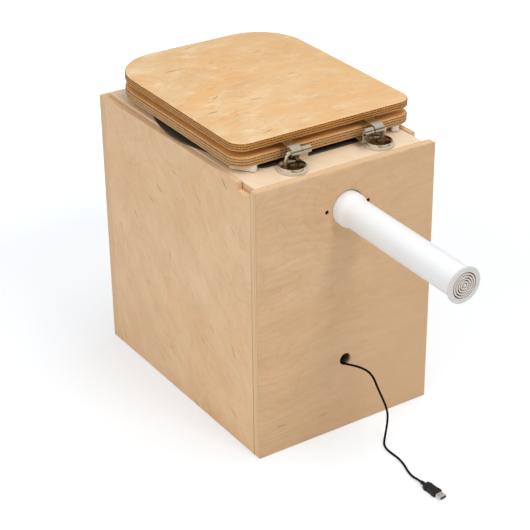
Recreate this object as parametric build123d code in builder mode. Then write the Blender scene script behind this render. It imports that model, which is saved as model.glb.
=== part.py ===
from build123d import *

import math
import os

# A urine-diverting dry toilet in a plywood cabinet, with a lift-off seat board,
# a hinged seat and lid, a vent pipe with an end grille and a USB fan lead.
# Millimetres. +Z is up, -Y is the front where the user sits, +Y is the back
# with the pipe. The origin is on the floor under the middle of the cabinet.

os.makedirs("parts", exist_ok=True)

# Cabinet
cabinet_width = 328.0
cabinet_depth = 470.0
cabinet_height = 456.5
panel_thickness = 15.0
side_thickness = 9.0
base_thickness = 9.0
notch_length = 35.4
notch_depth = 12.5
notch_corner = 3.6
cut_overrun = 2.0

# Battens, rails and cleats inside the cabinet
batten_size = 18.0
batten_top = 414.0
batten_ease = 1.5
rail_depth = 15.0
rail_height = 17.0
cleat_width = 15.0
cleat_height = 22.0
cleat_end_gap = 1.2

# Seat board, which slopes down towards the back
board_tilt_degrees = 1.25
board_top_height = 459.4
board_thickness = 15.0
board_side_gap = 1.0
board_front_gap = 1.0
board_back_gap = 2.0
board_edge_ease = 0.8
board_side_strip = 32.0
opening_clearance = 1.5

# Diverter insert: a flange on the board, with a urine bowl in front, its drain
# spout, and a solids chute behind, which hang in the board's opening
flange_thickness = 2.2
flange_ease = 1.0
flange_overhang = 5.0
flange_widest_place = -8.0
flange_side_front = -95.6
flange_side_front_inset = 16.1
flange_side_back = 79.2
flange_side_back_inset = 17.4
flange_back = 166.0
flange_back_inset = 53.0
flange_front = -203.0
flange_front_inset = 61.0
flange_back_corner = 14.0
flange_front_corner = 60.0
insert_wall = 2.6
bowl_front = -178.0
bowl_back = -13.0
bowl_corner = 78.0
bowl_depth = 94.0
bowl_floor_share = 0.36
bowl_floor_front = -150.0
bowl_floor_back = -84.0
bowl_floor_corner = 26.0
chute_front = -3.0
chute_back = 157.0
chute_corner = 66.0
chute_depth = 72.0
chute_floor_share = 0.82
chute_floor_front = 18.0
chute_floor_back = 146.0
chute_floor_corner = 44.0
skirt_height = 20.0
spout_place = -116.0
spout_radius = 14.0
spout_wall = 2.6
spout_dip = 1.6

# Solids bucket
bucket_place = 75.0
bucket_side_room = 38.0
bucket_taper = 14.0
bucket_top_depth = 199.0
bucket_top_corner = 46.0
bucket_foot_corner = 38.0
bucket_height = 336.0
bucket_wall = 2.4
bucket_rim_width = 7.5
bucket_rim_thickness = 3.0
bucket_lip_height = 14.0
bucket_foot_recess = 4.0

# Urine canister
canister_place = -126.5
canister_side_room = 35.0
canister_depth = 172.0
canister_height = 262.0
canister_corner = 26.0
canister_wall = 2.5
canister_ease = 5.0
canister_shoulder_depth = 10.0
neck_radius = 26.0
neck_bore_radius = 23.0
neck_height = 28.0
neck_place = -118.8
collar_radius = 30.0
collar_height = 17.0
collar_lip = 3.0
collar_hole_radius = 22.5
collar_clearance = 0.25
collar_rib_radius = 1.1
grip_neck_gap = 20.0
grip_end_gap = 8.0
grip_width = 22.0
grip_thickness = 12.0
grip_gap = 20.0
grip_ease = 4.0

# Seat and lid, set a little to one side as in the photograph
seat_shift = -9.0
seat_overhang = 0.5
seat_back = 169.0
seat_front = -224.0
seat_front_corner = 86.0
seat_back_corner = 27.0
seat_thickness = 15.0
seat_under_gap = 10.5
seat_edge_ease = 4.0
lid_thickness = 13.0
lid_under_gap = 11.0
lid_edge_ease = 3.4
ring_back_radius = 104.0
ring_back_place = -10.0
ring_front_radius = 84.0
ring_front_place = -96.0
ring_edge_ease = 5.0

# Buffers
buffer_length = 42.0
buffer_width = 12.5
buffer_ease = 2.2
buffer_edge_gap = 23.5
buffer_back_place = 152.0
buffer_front_place = -184.0
buffer_front_edge_gap = 40.5
buffer_turn_degrees = 53.0
buffer_corner = 4.0
buffer_hollow_length = 26.0
buffer_hollow = 0.8
bumper_radius = 7.0
bumper_edge_gap = 42.5
bumper_front_place = -150.0
bumper_back_place = 96.0
bumper_ease = 1.6
buffer_rest_gap = 0.8
bumper_rest_gap = 0.3

# Hinges
hinge_side_place = 80.0
hinge_back_place = 192.0
pin_height = 28.0
rod_radius = 3.0
rod_inner_end = 48.5
rod_post_place = 89.6
rod_bend_radius = 3.7
rod_foot_back = 186.0
rod_foot_height = 8.9
rod_foot_radius = 3.75
seat_barrel_radius = 5.9
lid_barrel_radius = 6.8
barrel_clearance = 0.06
barrel_gap = 1.2
lid_barrel_outer = 84.8
barrel_middle = 67.0
seat_barrel_inner = 49.8
strap_thickness = 2.4
strap_reach = 62.0
strap_bend = 3.0
strap_step_length = 3.0
strap_dish_gap = 0.5
lid_strap_root_high = 55.0
lid_strap_root_low = 130.0
washer_radius = 23.75
washer_height = 4.0
washer_ease = 1.0
dish_radius = 21.0
dish_height = 4.5
dish_wall = 1.5
dish_floor = 1.0
plate_length = 34.0
plate_width = 19.0
plate_thickness = 2.2
plate_corner = 5.0
socket_clearance = 0.15
bolt_radius = 4.0
bolt_clearance = 0.3
bolt_head_radius = 5.4
bolt_head_height = 3.2
bolt_head_ease = 2.2
bolt_tail = 3.0
nut_radius = 7.0
nut_height = 6.5
nut_washer_radius = 8.0
nut_washer_height = 1.6

# Wood screws
screw_radius = 1.7
screw_head_radius = 3.2
screw_head_height = 1.6
screw_head_ease = 0.7
screw_depth = 8.0
screw_clearance = 0.05
strap_screw_near = 36.0
strap_screw_far = 53.0
insert_screw_spacing = 120.0
insert_screw_place = -192.0
cleat_screw_depth = 6.0
cleat_screw_end = 24.0

# Vent pipe, which falls a little away from the back panel
pipe_height = 390.0
pipe_fall_degrees = 2.4
pipe_radius = 24.4
pipe_wall = 1.8
socket_radius = 28.0
socket_wall = 2.4
socket_outside = 7.5
socket_taper_end = 25.0
socket_inside = 13.0
pipe_length = 267.0
pipe_hole_radius = 29.0
pipe_hole_side = -0.5
pipe_hole_rise = 0.6

# End grille
grille_flange_radius = 28.4
grille_flange_thickness = 3.2
grille_flange_ease = 1.2
grille_ring_outer = 20.6
grille_ring_pitch = 4.0
grille_slot_width = 1.9
grille_slot_count = 5
grille_rib_width = 1.6
grille_rib_depth = 2.6
grille_spigot_wall = 1.5
grille_spigot_length = 13.0
grille_clearance = 0.1

# Fan and its housing behind the back panel
housing_size = 60.0
housing_corner = 4.0
housing_depth = 15.0
spigot_wall = 2.4
spigot_clearance = 0.2
spigot_length = 22.0
fan_depth = 15.0
fan_bore_radius = 28.0
fan_hole_pitch = 50.0
fan_hole_radius = 2.1
fan_hub_radius = 12.0
fan_hub_plate = 2.0
fan_strut_width = 3.0
shaft_radius = 1.5
shaft_clearance = 0.06
shaft_length = 9.0
rotor_hub_radius = 12.5
rotor_hub_depth = 10.5
rotor_hub_wall = 1.4
rotor_gap = 1.0
blade_count = 7
blade_thickness = 1.2
blade_root_chord = 9.0
blade_tip_chord = 11.5
blade_root_degrees = 38.0
blade_tip_degrees = 56.0
blade_tip_gap = 0.9
fan_screw_tail = 9.0

# Holes in the back panel
fixing_hole_radius = 3.4
fixing_hole_spacing = 76.2
fixing_hole_shift = 0.6
fixing_hole_height = 393.0
cable_hole_radius = 10.5
cable_hole_height = 126.0
cable_hole_shift = 0.6

# USB lead and plug
cable_radius = 1.8
plug_neck_radius = 3.1
plug_neck_length = 8.0
plug_tail_width = 11.0
plug_tail_length = 7.0
plug_width = 15.6
plug_thickness = 8.2
plug_grip_length = 15.0
plug_grip_width = 13.2
plug_nose_length = 7.0
plug_ease = 1.6
shell_width = 12.0
shell_height = 4.5
shell_length = 11.9
shell_wall = 0.4
shell_root = 3.0
shell_window = 2.0
shell_window_place = 5.6
shell_window_pitch = 5.6
tongue_width = 10.6
tongue_height = 1.9
tongue_length = 9.0
tongue_drop = 0.9

# Route of the lead, from the hole in the back panel to the plug
cable_points = [
    (3.5, 222.0, 118.0),
    (2.0, 236.0, 118.2),
    (-7.0, 249.0, 118.4),
    (-14.0, 261.0, 117.2),
    (-20.0, 271.0, 113.0),
    (-23.5, 279.0, 104.0),
    (-25.5, 285.0, 91.0),
    (-30.5, 290.0, 75.0),
    (-36.5, 293.0, 58.0),
    (-40.0, 295.0, 43.0),
    (-39.5, 296.0, 30.0),
    (-37.0, 297.5, 18.0),
    (-33.0, 300.0, 8.5),
    (-27.5, 305.0, 3.2),
    (-20.0, 313.0, 1.8),
    (-14.5, 325.0, 1.8),
    (-13.5, 340.0, 1.8),
    (-14.5, 357.0, 1.8),
    (-11.0, 376.0, 1.8),
    (-4.5, 394.0, 1.8),
    (-1.5, 409.0, 2.4),
    (-2.0, 421.0, 4.1),
    (-2.4, 430.0, 4.1),
]

# Values worked out from the sizes above
half_width = cabinet_width / 2
half_depth = cabinet_depth / 2
inner_half_width = half_width - side_thickness
inner_half_depth = half_depth - panel_thickness
tilt = math.radians(board_tilt_degrees)
fall = math.radians(pipe_fall_degrees)
board_half_width = inner_half_width - board_side_gap
board_front = -inner_half_depth + board_front_gap
board_back = inner_half_depth - board_back_gap
pocket_half_width = board_half_width - board_side_strip
bowl_floor_half_width = pocket_half_width * bowl_floor_share
chute_floor_half_width = pocket_half_width * chute_floor_share
flange_half_width = board_half_width + flange_overhang
bucket_top_width = 2 * (inner_half_width - bucket_side_room)
bucket_foot_width = bucket_top_width - 2 * bucket_taper
bucket_foot_depth = bucket_top_depth - 2 * bucket_taper
canister_width = 2 * (inner_half_width - canister_side_room)
canister_top = base_thickness + canister_height
collar_top = canister_top + neck_height + collar_lip
grip_near = collar_radius + grip_neck_gap
grip_far = canister_width / 2 - grip_end_gap
seat_width = cabinet_width + 2 * seat_overhang
buffer_side_place = seat_width / 2 - buffer_edge_gap
buffer_front_side = seat_width / 2 - buffer_front_edge_gap
bumper_side_place = seat_width / 2 - bumper_edge_gap
seat_top = seat_under_gap + seat_thickness
lid_under = seat_top + lid_under_gap
lid_top = lid_under + lid_thickness

# The board's own frame: x across, y back along the slope, z square to it
board_normal = Vector(0, math.sin(tilt), math.cos(tilt))
board_plane = Plane(origin=(0, 0, board_top_height), x_dir=(1, 0, 0), z_dir=board_normal)
board_axis = Axis((0, 0, board_top_height), board_normal)


def on_board(across, back, up):
    """A point given in the board's frame, as a point of the whole part."""
    return board_plane.from_local_coords(Vector(across, back, up))


def board_profile_plane(across):
    """A plane square to the hinge line: x runs back, y runs up."""
    return Plane(
        origin=on_board(across, 0, 0), x_dir=board_plane.y_dir, z_dir=board_plane.x_dir
    )


def under_board(back):
    """Height of the board's underside at a place on the depth axis."""
    return board_top_height - back * math.tan(tilt) - board_thickness / math.cos(tilt)


# Front panel
with BuildPart() as front_panel:
    with BuildSketch(Plane.XZ.offset(inner_half_depth)) as front_outline:
        with Locations((0, cabinet_height / 2)):
            Rectangle(cabinet_width, cabinet_height)
    extrude(amount=panel_thickness)
front_panel.part.label = "front_panel"
export_step(front_panel.part, "parts/front_panel.step")

# Back panel with its pipe hole, two fixing holes and the cable hole
with BuildPart() as back_panel:
    with BuildSketch(Plane.XZ.offset(-half_depth)) as back_outline:
        with Locations((0, cabinet_height / 2)):
            Rectangle(cabinet_width, cabinet_height)
        with Locations((pipe_hole_side, pipe_height + pipe_hole_rise)):
            Circle(pipe_hole_radius, mode=Mode.SUBTRACT)
        with Locations((fixing_hole_shift, fixing_hole_height)):
            with GridLocations(fixing_hole_spacing, 0, 2, 1):
                Circle(fixing_hole_radius, mode=Mode.SUBTRACT)
        with Locations((cable_hole_shift, cable_hole_height)):
            Circle(cable_hole_radius, mode=Mode.SUBTRACT)
    extrude(amount=panel_thickness)
back_panel.part.label = "back_panel"
export_step(back_panel.part, "parts/back_panel.step")

# Side panels, each with a finger notch at the top back corner
cleat_front = -inner_half_depth + rail_depth + cleat_end_gap
cleat_back = inner_half_depth - rail_depth - cleat_end_gap
cleat_screw_places = [
    cleat_front + cleat_screw_end,
    cleat_front + cleat_screw_end + (cleat_back - cleat_front - 2 * cleat_screw_end) / 2,
    cleat_back - cleat_screw_end,
]


def cleat_screw_height(back):
    """Height of a cleat screw, half way down the sloped cleat."""
    return under_board(back) - cleat_height / 2


for side, sign in (("left", 1), ("right", -1)):
    with BuildPart() as side_panel:
        with BuildSketch(Plane.YZ.offset(sign * inner_half_width)) as side_outline:
            with Locations((0, cabinet_height / 2)):
                Rectangle(2 * inner_half_depth, cabinet_height)
            with BuildLine() as notch_line:
                Polyline(
                    (inner_half_depth, cabinet_height + cut_overrun),
                    (inner_half_depth - notch_length, cabinet_height + cut_overrun),
                    (inner_half_depth - notch_length, cabinet_height - notch_depth),
                    (inner_half_depth, cabinet_height - notch_depth),
                    close=True,
                )
            make_face(mode=Mode.SUBTRACT)
            notch_points = side_outline.vertices().filter_by(
                lambda v: abs(v.Z - cabinet_height + notch_depth) < notch_corner
                and v.Y < inner_half_depth - notch_corner
            )
            fillet(notch_points, notch_corner)
        extrude(amount=sign * side_thickness)
        for place in cleat_screw_places:
            screw_plane = Plane(
                origin=(sign * inner_half_width, place, cleat_screw_height(place)),
                x_dir=(0, 1, 0),
                z_dir=(sign, 0, 0),
            )
            with BuildSketch(screw_plane):
                Circle(screw_radius + screw_clearance)
            extrude(amount=cleat_screw_depth + screw_clearance, mode=Mode.SUBTRACT)
    side_panel.part.label = f"side_panel_{side}"
    export_step(side_panel.part, f"parts/side_panel_{side}.step")

# Base panel between the four walls
with BuildPart() as base_panel:
    with BuildSketch() as base_outline:
        Rectangle(2 * inner_half_width, 2 * inner_half_depth)
    extrude(amount=base_thickness)
base_panel.part.label = "base_panel"
export_step(base_panel.part, "parts/base_panel.step")

# Four corner battens
with BuildPart() as corner_battens:
    with BuildSketch(Plane.XY.offset(base_thickness)) as batten_outline:
        with GridLocations(
            2 * inner_half_width - batten_size, 2 * inner_half_depth - batten_size, 2, 2
        ):
            Rectangle(batten_size, batten_size)
    extrude(amount=batten_top - base_thickness)
    inner_edges = corner_battens.edges().filter_by(Axis.Z).filter_by(
        lambda e: abs(e.center().X) < inner_half_width - batten_size / 2
        and abs(e.center().Y) < inner_half_depth - batten_size / 2
    )
    chamfer(inner_edges, batten_ease)
corner_battens.part.label = "corner_battens"
export_step(corner_battens.part, "parts/corner_battens.step")

# Front and back rails, whose tops slope with the board
with BuildPart() as front_rail:
    with BuildSketch(Plane.YZ.offset(-inner_half_width)) as front_rail_profile:
        with BuildLine():
            Polyline(
                (-inner_half_depth, under_board(-inner_half_depth)),
                (-inner_half_depth, under_board(-inner_half_depth) - rail_height),
                (-inner_half_depth + rail_depth, under_board(-inner_half_depth) - rail_height),
                (-inner_half_depth + rail_depth, under_board(-inner_half_depth + rail_depth)),
                close=True,
            )
        make_face()
    extrude(amount=2 * inner_half_width)
front_rail.part.label = "front_rail"
export_step(front_rail.part, "parts/front_rail.step")

with BuildPart() as back_rail:
    with BuildSketch(Plane.YZ.offset(-inner_half_width)) as back_rail_profile:
        with BuildLine():
            Polyline(
                (inner_half_depth, under_board(inner_half_depth)),
                (inner_half_depth, under_board(inner_half_depth) - rail_height),
                (inner_half_depth - rail_depth, under_board(inner_half_depth) - rail_height),
                (inner_half_depth - rail_depth, under_board(inner_half_depth - rail_depth)),
                close=True,
            )
        make_face()
    extrude(amount=2 * inner_half_width)
back_rail.part.label = "back_rail"
export_step(back_rail.part, "parts/back_rail.step")

# Side cleats, which carry the board's long edges
for side, sign in (("left", 1), ("right", -1)):
    with BuildPart() as side_cleat:
        with BuildSketch(Plane.YZ.offset(sign * inner_half_width)) as cleat_profile:
            with BuildLine():
                Polyline(
                    (cleat_front, under_board(cleat_front)),
                    (cleat_front, under_board(cleat_front) - cleat_height),
                    (cleat_back, under_board(cleat_back) - cleat_height),
                    (cleat_back, under_board(cleat_back)),
                    close=True,
                )
            make_face()
        extrude(amount=-sign * cleat_width)
        for place in cleat_screw_places:
            bore_plane = Plane(
                origin=(
                    sign * (inner_half_width - cleat_width - cut_overrun),
                    place,
                    cleat_screw_height(place),
                ),
                x_dir=(0, 1, 0),
                z_dir=(sign, 0, 0),
            )
            with BuildSketch(bore_plane):
                Circle(screw_radius + screw_clearance)
            extrude(amount=cleat_width + 2 * cut_overrun, mode=Mode.SUBTRACT)
    side_cleat.part.label = f"side_cleat_{side}"
    export_step(side_cleat.part, f"parts/side_cleat_{side}.step")

# Cleat screws, driven from inside the cabinet
with BuildPart() as cleat_screws:
    for sign in (1, -1):
        for place in cleat_screw_places:
            head_plane = Plane(
                origin=(sign * (inner_half_width - cleat_width), place, cleat_screw_height(place)),
                x_dir=(0, 1, 0),
                z_dir=(-sign, 0, 0),
            )
            with BuildSketch(head_plane):
                Circle(screw_head_radius)
            extrude(amount=screw_head_height)
            with BuildSketch(head_plane):
                Circle(screw_radius)
            extrude(amount=-cleat_width - cleat_screw_depth)
cleat_screws.part.label = "cleat_screws"
export_step(cleat_screws.part, "parts/cleat_screws.step")

# Seat board with its wide opening and two bolt holes
hinge_signs = (1, -1)
with BuildPart() as seat_board:
    with BuildSketch(board_plane) as board_outline:
        with BuildLine() as board_line:
            Polyline(
                (-board_half_width, board_front),
                (board_half_width, board_front),
                (board_half_width, board_back),
                (-board_half_width, board_back),
                close=True,
            )
        make_face()
    extrude(amount=-board_thickness)
    chamfer(seat_board.faces().sort_by(board_axis)[-1].edges(), board_edge_ease)
    opening_grow = insert_wall + opening_clearance
    with BuildSketch(board_plane) as opening_outline:
        with Locations((0, (bowl_front + chute_back) / 2)):
            Rectangle(
                2 * (pocket_half_width + opening_grow),
                chute_back - bowl_front + 2 * opening_grow,
            )
        back_points = opening_outline.vertices().sort_by(Axis.Y)[-2:]
        fillet(back_points, chute_corner + opening_grow)
        front_points = opening_outline.vertices().sort_by(Axis.Y)[:2]
        fillet(front_points, bowl_corner + opening_grow)
    extrude(amount=-board_thickness, mode=Mode.SUBTRACT)
    with BuildSketch(board_plane) as bolt_hole_outline:
        for sign in hinge_signs:
            with Locations((seat_shift + sign * hinge_side_place, hinge_back_place)):
                Circle(bolt_radius + bolt_clearance)
    extrude(amount=-board_thickness, mode=Mode.SUBTRACT)
    with BuildSketch(board_plane) as insert_pilot_outline:
        with Locations((0, insert_screw_place)):
            with GridLocations(insert_screw_spacing, 0, 2, 1):
                Circle(screw_radius + screw_clearance)
    extrude(amount=-screw_depth - screw_clearance, mode=Mode.SUBTRACT)
seat_board.part.label = "seat_board"
export_step(seat_board.part, "parts/seat_board.step")

# Flange of the diverter insert, which lies on the board round its opening
def rounded_outline(plane, half, front, back, corner, grow):
    """A rounded rectangle between two places on the depth axis, grown all round."""
    with BuildSketch(plane) as outline:
        with Locations((0, (front + back) / 2)):
            RectangleRounded(2 * (half + grow), back - front + 2 * grow, corner + grow)
    return outline.sketch


bowl_mouth = (pocket_half_width, bowl_front, bowl_back, bowl_corner)
bowl_floor = (bowl_floor_half_width, bowl_floor_front, bowl_floor_back, bowl_floor_corner)
chute_mouth = (pocket_half_width, chute_front, chute_back, chute_corner)
chute_end = (chute_floor_half_width, chute_floor_front, chute_floor_back, chute_floor_corner)

with BuildPart() as diverter_flange:
    with BuildSketch(board_plane) as flange_outline:
        with BuildLine() as flange_line:
            Line(
                (-flange_half_width + flange_back_inset, flange_back),
                (flange_half_width - flange_back_inset, flange_back),
            )
            Line(
                (flange_half_width - flange_back_inset, flange_back),
                (flange_half_width - flange_side_back_inset, flange_side_back),
            )
            ThreePointArc(
                (flange_half_width - flange_side_back_inset, flange_side_back),
                (flange_half_width, flange_widest_place),
                (flange_half_width - flange_side_front_inset, flange_side_front),
            )
            Line(
                (flange_half_width - flange_side_front_inset, flange_side_front),
                (flange_half_width - flange_front_inset, flange_front),
            )
            Line(
                (flange_half_width - flange_front_inset, flange_front),
                (-flange_half_width + flange_front_inset, flange_front),
            )
            Line(
                (-flange_half_width + flange_front_inset, flange_front),
                (-flange_half_width + flange_side_front_inset, flange_side_front),
            )
            ThreePointArc(
                (-flange_half_width + flange_side_front_inset, flange_side_front),
                (-flange_half_width, flange_widest_place),
                (-flange_half_width + flange_side_back_inset, flange_side_back),
            )
            Line(
                (-flange_half_width + flange_side_back_inset, flange_side_back),
                (-flange_half_width + flange_back_inset, flange_back),
            )
        make_face()
        fillet(flange_outline.vertices().sort_by(Axis.Y)[-2:], flange_back_corner)
        fillet(flange_outline.vertices().sort_by(Axis.Y)[:2], flange_front_corner)
    extrude(amount=flange_thickness)
    fillet(diverter_flange.faces().sort_by(board_axis)[-1].edges(), flange_ease)
    for mouth in (bowl_mouth, chute_mouth):
        extrude(
            rounded_outline(board_plane, *mouth, 0), amount=flange_thickness, mode=Mode.SUBTRACT
        )
    with BuildSketch(board_plane) as flange_screw_outline:
        with Locations((0, insert_screw_place)):
            with GridLocations(insert_screw_spacing, 0, 2, 1):
                Circle(screw_radius + screw_clearance)
    extrude(amount=flange_thickness, mode=Mode.SUBTRACT)
diverter_flange.part.label = "diverter_flange"
export_step(diverter_flange.part, "parts/diverter_flange.step")

# Urine bowl, tapered down to a floor with the drain's hole in it
with BuildPart() as urine_bowl:
    bowl_top = rounded_outline(board_plane, *bowl_mouth, insert_wall)
    bowl_low = rounded_outline(
        board_plane.offset(-bowl_depth - insert_wall), *bowl_floor, insert_wall
    )
    loft(sections=[bowl_top, bowl_low], ruled=True)
    bowl_inner_top = rounded_outline(board_plane, *bowl_mouth, 0)
    bowl_inner_low = rounded_outline(board_plane.offset(-bowl_depth), *bowl_floor, 0)
    loft(sections=[bowl_inner_top, bowl_inner_low], ruled=True, mode=Mode.SUBTRACT)
    with BuildSketch(board_plane.offset(-bowl_depth)) as drain_outline:
        with Locations((0, spout_place)):
            Circle(spout_radius - spout_wall)
    extrude(amount=-insert_wall, mode=Mode.SUBTRACT)
urine_bowl.part.label = "urine_bowl"
export_step(urine_bowl.part, "parts/urine_bowl.step")

# Drain spout under the bowl, which reaches into the canister's collar
spout_top_level = -bowl_depth - insert_wall
spout_end_level = (
    collar_top - spout_dip - on_board(0, spout_place, 0).Z
) / math.cos(tilt)
with BuildPart() as drain_spout:
    with BuildSketch(board_plane.offset(spout_top_level)) as spout_outline:
        with Locations((0, spout_place)):
            Circle(spout_radius)
            Circle(spout_radius - spout_wall, mode=Mode.SUBTRACT)
    extrude(amount=spout_end_level - spout_top_level)
drain_spout.part.label = "drain_spout"
export_step(drain_spout.part, "parts/drain_spout.step")

# Solids chute: tapered walls and a straight skirt over the bucket
with BuildPart() as solids_chute:
    chute_top = rounded_outline(board_plane, *chute_mouth, insert_wall)
    chute_low = rounded_outline(board_plane.offset(-chute_depth), *chute_end, insert_wall)
    loft(sections=[chute_top, chute_low], ruled=True)
    extrude(chute_low, amount=-skirt_height)
    chute_inner_top = rounded_outline(board_plane, *chute_mouth, 0)
    chute_inner_low = rounded_outline(board_plane.offset(-chute_depth), *chute_end, 0)
    loft(sections=[chute_inner_top, chute_inner_low], ruled=True, mode=Mode.SUBTRACT)
    extrude(chute_inner_low, amount=-skirt_height, mode=Mode.SUBTRACT)
solids_chute.part.label = "solids_chute"
export_step(solids_chute.part, "parts/solids_chute.step")

# Screws that hold the flange on the board in front, under the seat
with BuildPart() as insert_screws:
    with BuildSketch(board_plane.offset(flange_thickness)):
        with Locations((0, insert_screw_place)):
            with GridLocations(insert_screw_spacing, 0, 2, 1):
                Circle(screw_head_radius)
    extrude(amount=screw_head_height)
    fillet(insert_screws.edges().group_by(board_axis)[-1], screw_head_ease)
    with BuildSketch(board_plane.offset(flange_thickness)):
        with Locations((0, insert_screw_place)):
            with GridLocations(insert_screw_spacing, 0, 2, 1):
                Circle(screw_radius)
    extrude(amount=-flange_thickness - screw_depth)
insert_screws.part.label = "insert_screws"
export_step(insert_screws.part, "parts/insert_screws.step")

# Solids bucket: tapered walls, a turned-down rim and a recessed foot
with BuildPart() as solids_bucket:
    with BuildSketch(Plane.XY.offset(base_thickness)) as bucket_foot:
        with Locations((0, bucket_place)):
            RectangleRounded(bucket_foot_width, bucket_foot_depth, bucket_foot_corner)
    with BuildSketch(Plane.XY.offset(base_thickness + bucket_height)) as bucket_mouth:
        with Locations((0, bucket_place)):
            RectangleRounded(bucket_top_width, bucket_top_depth, bucket_top_corner)
    loft(ruled=True)
    rim_level = base_thickness + bucket_height
    with BuildSketch(Plane.XY.offset(rim_level - bucket_lip_height)) as rim_outline:
        with Locations((0, bucket_place)):
            RectangleRounded(
                bucket_top_width + 2 * bucket_rim_width,
                bucket_top_depth + 2 * bucket_rim_width,
                bucket_top_corner + bucket_rim_width,
            )
    extrude(amount=bucket_lip_height)
    top_edges = solids_bucket.faces().sort_by(Axis.Z)[-1].edges()
    fillet(top_edges, bucket_rim_thickness / 2)
    with BuildSketch(Plane.XY.offset(rim_level - bucket_lip_height)) as lip_cut:
        with Locations((0, bucket_place)):
            RectangleRounded(
                bucket_top_width + 2 * bucket_rim_width - 2 * bucket_wall,
                bucket_top_depth + 2 * bucket_rim_width - 2 * bucket_wall,
                bucket_top_corner + bucket_rim_width - bucket_wall,
            )
            RectangleRounded(
                bucket_top_width, bucket_top_depth, bucket_top_corner, mode=Mode.SUBTRACT
            )
    extrude(amount=bucket_lip_height - bucket_rim_thickness, mode=Mode.SUBTRACT)
    floor_level = base_thickness + bucket_foot_recess + bucket_wall
    with BuildSketch(Plane.XY.offset(floor_level)) as bucket_inner_foot:
        with Locations((0, bucket_place)):
            RectangleRounded(
                bucket_foot_width - 2 * bucket_wall,
                bucket_foot_depth - 2 * bucket_wall,
                bucket_foot_corner - bucket_wall,
            )
    with BuildSketch(Plane.XY.offset(rim_level)) as bucket_inner_mouth:
        with Locations((0, bucket_place)):
            RectangleRounded(
                bucket_top_width - 2 * bucket_wall,
                bucket_top_depth - 2 * bucket_wall,
                bucket_top_corner - bucket_wall,
            )
    loft(
        sections=[bucket_inner_foot.sketch, bucket_inner_mouth.sketch],
        ruled=True,
        mode=Mode.SUBTRACT,
    )
    with BuildSketch(Plane.XY.offset(base_thickness)) as foot_recess:
        with Locations((0, bucket_place)):
            RectangleRounded(
                bucket_foot_width - 4 * bucket_wall,
                bucket_foot_depth - 4 * bucket_wall,
                bucket_foot_corner - 2 * bucket_wall,
            )
    extrude(amount=bucket_foot_recess, mode=Mode.SUBTRACT)
solids_bucket.part.label = "solids_bucket"
export_step(solids_bucket.part, "parts/solids_bucket.step")

# Urine canister: a hollow body with a wide neck and a moulded grip, in two nodes
with BuildPart() as canister_whole:
    with BuildSketch(Plane.XY.offset(base_thickness)) as canister_outline:
        with Locations((0, canister_place)):
            RectangleRounded(canister_width, canister_depth, canister_corner)
    extrude(amount=canister_height)
    fillet(canister_whole.faces().sort_by(Axis.Z)[-1].edges(), canister_ease)
    fillet(canister_whole.faces().sort_by(Axis.Z)[0].edges(), canister_ease)
    with BuildSketch(Plane.XY.offset(canister_top)) as neck_outline:
        with Locations((0, neck_place)):
            Circle(neck_radius)
    extrude(amount=neck_height)
    with BuildSketch(Plane.XY.offset(canister_top)) as grip_outline:
        with Locations(((grip_near + grip_far) / 2, neck_place)):
            Rectangle(grip_far - grip_near, grip_width)
    extrude(amount=grip_gap + grip_thickness)
    grip_edges = canister_whole.edges().filter_by(Axis.Y).filter_by(
        lambda e: e.center().Z > canister_top + grip_gap
    )
    fillet(grip_edges, grip_ease)
    with BuildSketch(Plane.XZ.offset(-neck_place - grip_width)) as grip_window:
        with Locations(((grip_near + grip_far) / 2, canister_top + grip_gap / 2)):
            RectangleRounded(
                grip_far - grip_near - 2 * grip_thickness, grip_gap, grip_ease
            )
    extrude(amount=2 * grip_width, mode=Mode.SUBTRACT)
    with BuildSketch(Plane.XY.offset(base_thickness + canister_wall)) as canister_inner:
        with Locations((0, canister_place)):
            RectangleRounded(
                canister_width - 2 * canister_wall,
                canister_depth - 2 * canister_wall,
                canister_corner - canister_wall,
            )
    extrude(amount=canister_height - 2 * canister_wall, mode=Mode.SUBTRACT)
    with BuildSketch(Plane.XY.offset(canister_top - 2 * canister_wall)) as neck_bore:
        with Locations((0, neck_place)):
            Circle(neck_bore_radius)
    extrude(amount=neck_height + 3 * canister_wall, mode=Mode.SUBTRACT)
shoulder_plane = Plane.XY.offset(canister_top - canister_shoulder_depth)
with BuildPart() as urine_canister:
    add(canister_whole.part)
    split(bisect_by=shoulder_plane, keep=Keep.BOTTOM)
urine_canister.part.label = "urine_canister"
export_step(urine_canister.part, "parts/urine_canister.step")

with BuildPart() as canister_shoulder:
    add(canister_whole.part)
    split(bisect_by=shoulder_plane, keep=Keep.TOP)
canister_shoulder.part.label = "canister_shoulder"
export_step(canister_shoulder.part, "parts/canister_shoulder.step")

# Ribbed screw collar on the neck, open in the middle for the insert's spout
with BuildPart() as canister_collar:
    with BuildSketch(Plane.XY.offset(collar_top - collar_height)) as collar_outline:
        with Locations((0, neck_place)):
            Circle(collar_radius)
            with PolarLocations(collar_radius, 20):
                Circle(collar_rib_radius)
    extrude(amount=collar_height)
    with BuildSketch(Plane.XY.offset(collar_top - collar_height)) as collar_bore:
        with Locations((0, neck_place)):
            Circle(neck_radius + collar_clearance)
    extrude(amount=collar_height - collar_lip, mode=Mode.SUBTRACT)
    with BuildSketch(Plane.XY.offset(collar_top)) as collar_mouth:
        with Locations((0, neck_place)):
            Circle(collar_hole_radius)
    extrude(amount=-collar_height, mode=Mode.SUBTRACT)
canister_collar.part.label = "canister_collar"
export_step(canister_collar.part, "parts/canister_collar.step")


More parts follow.
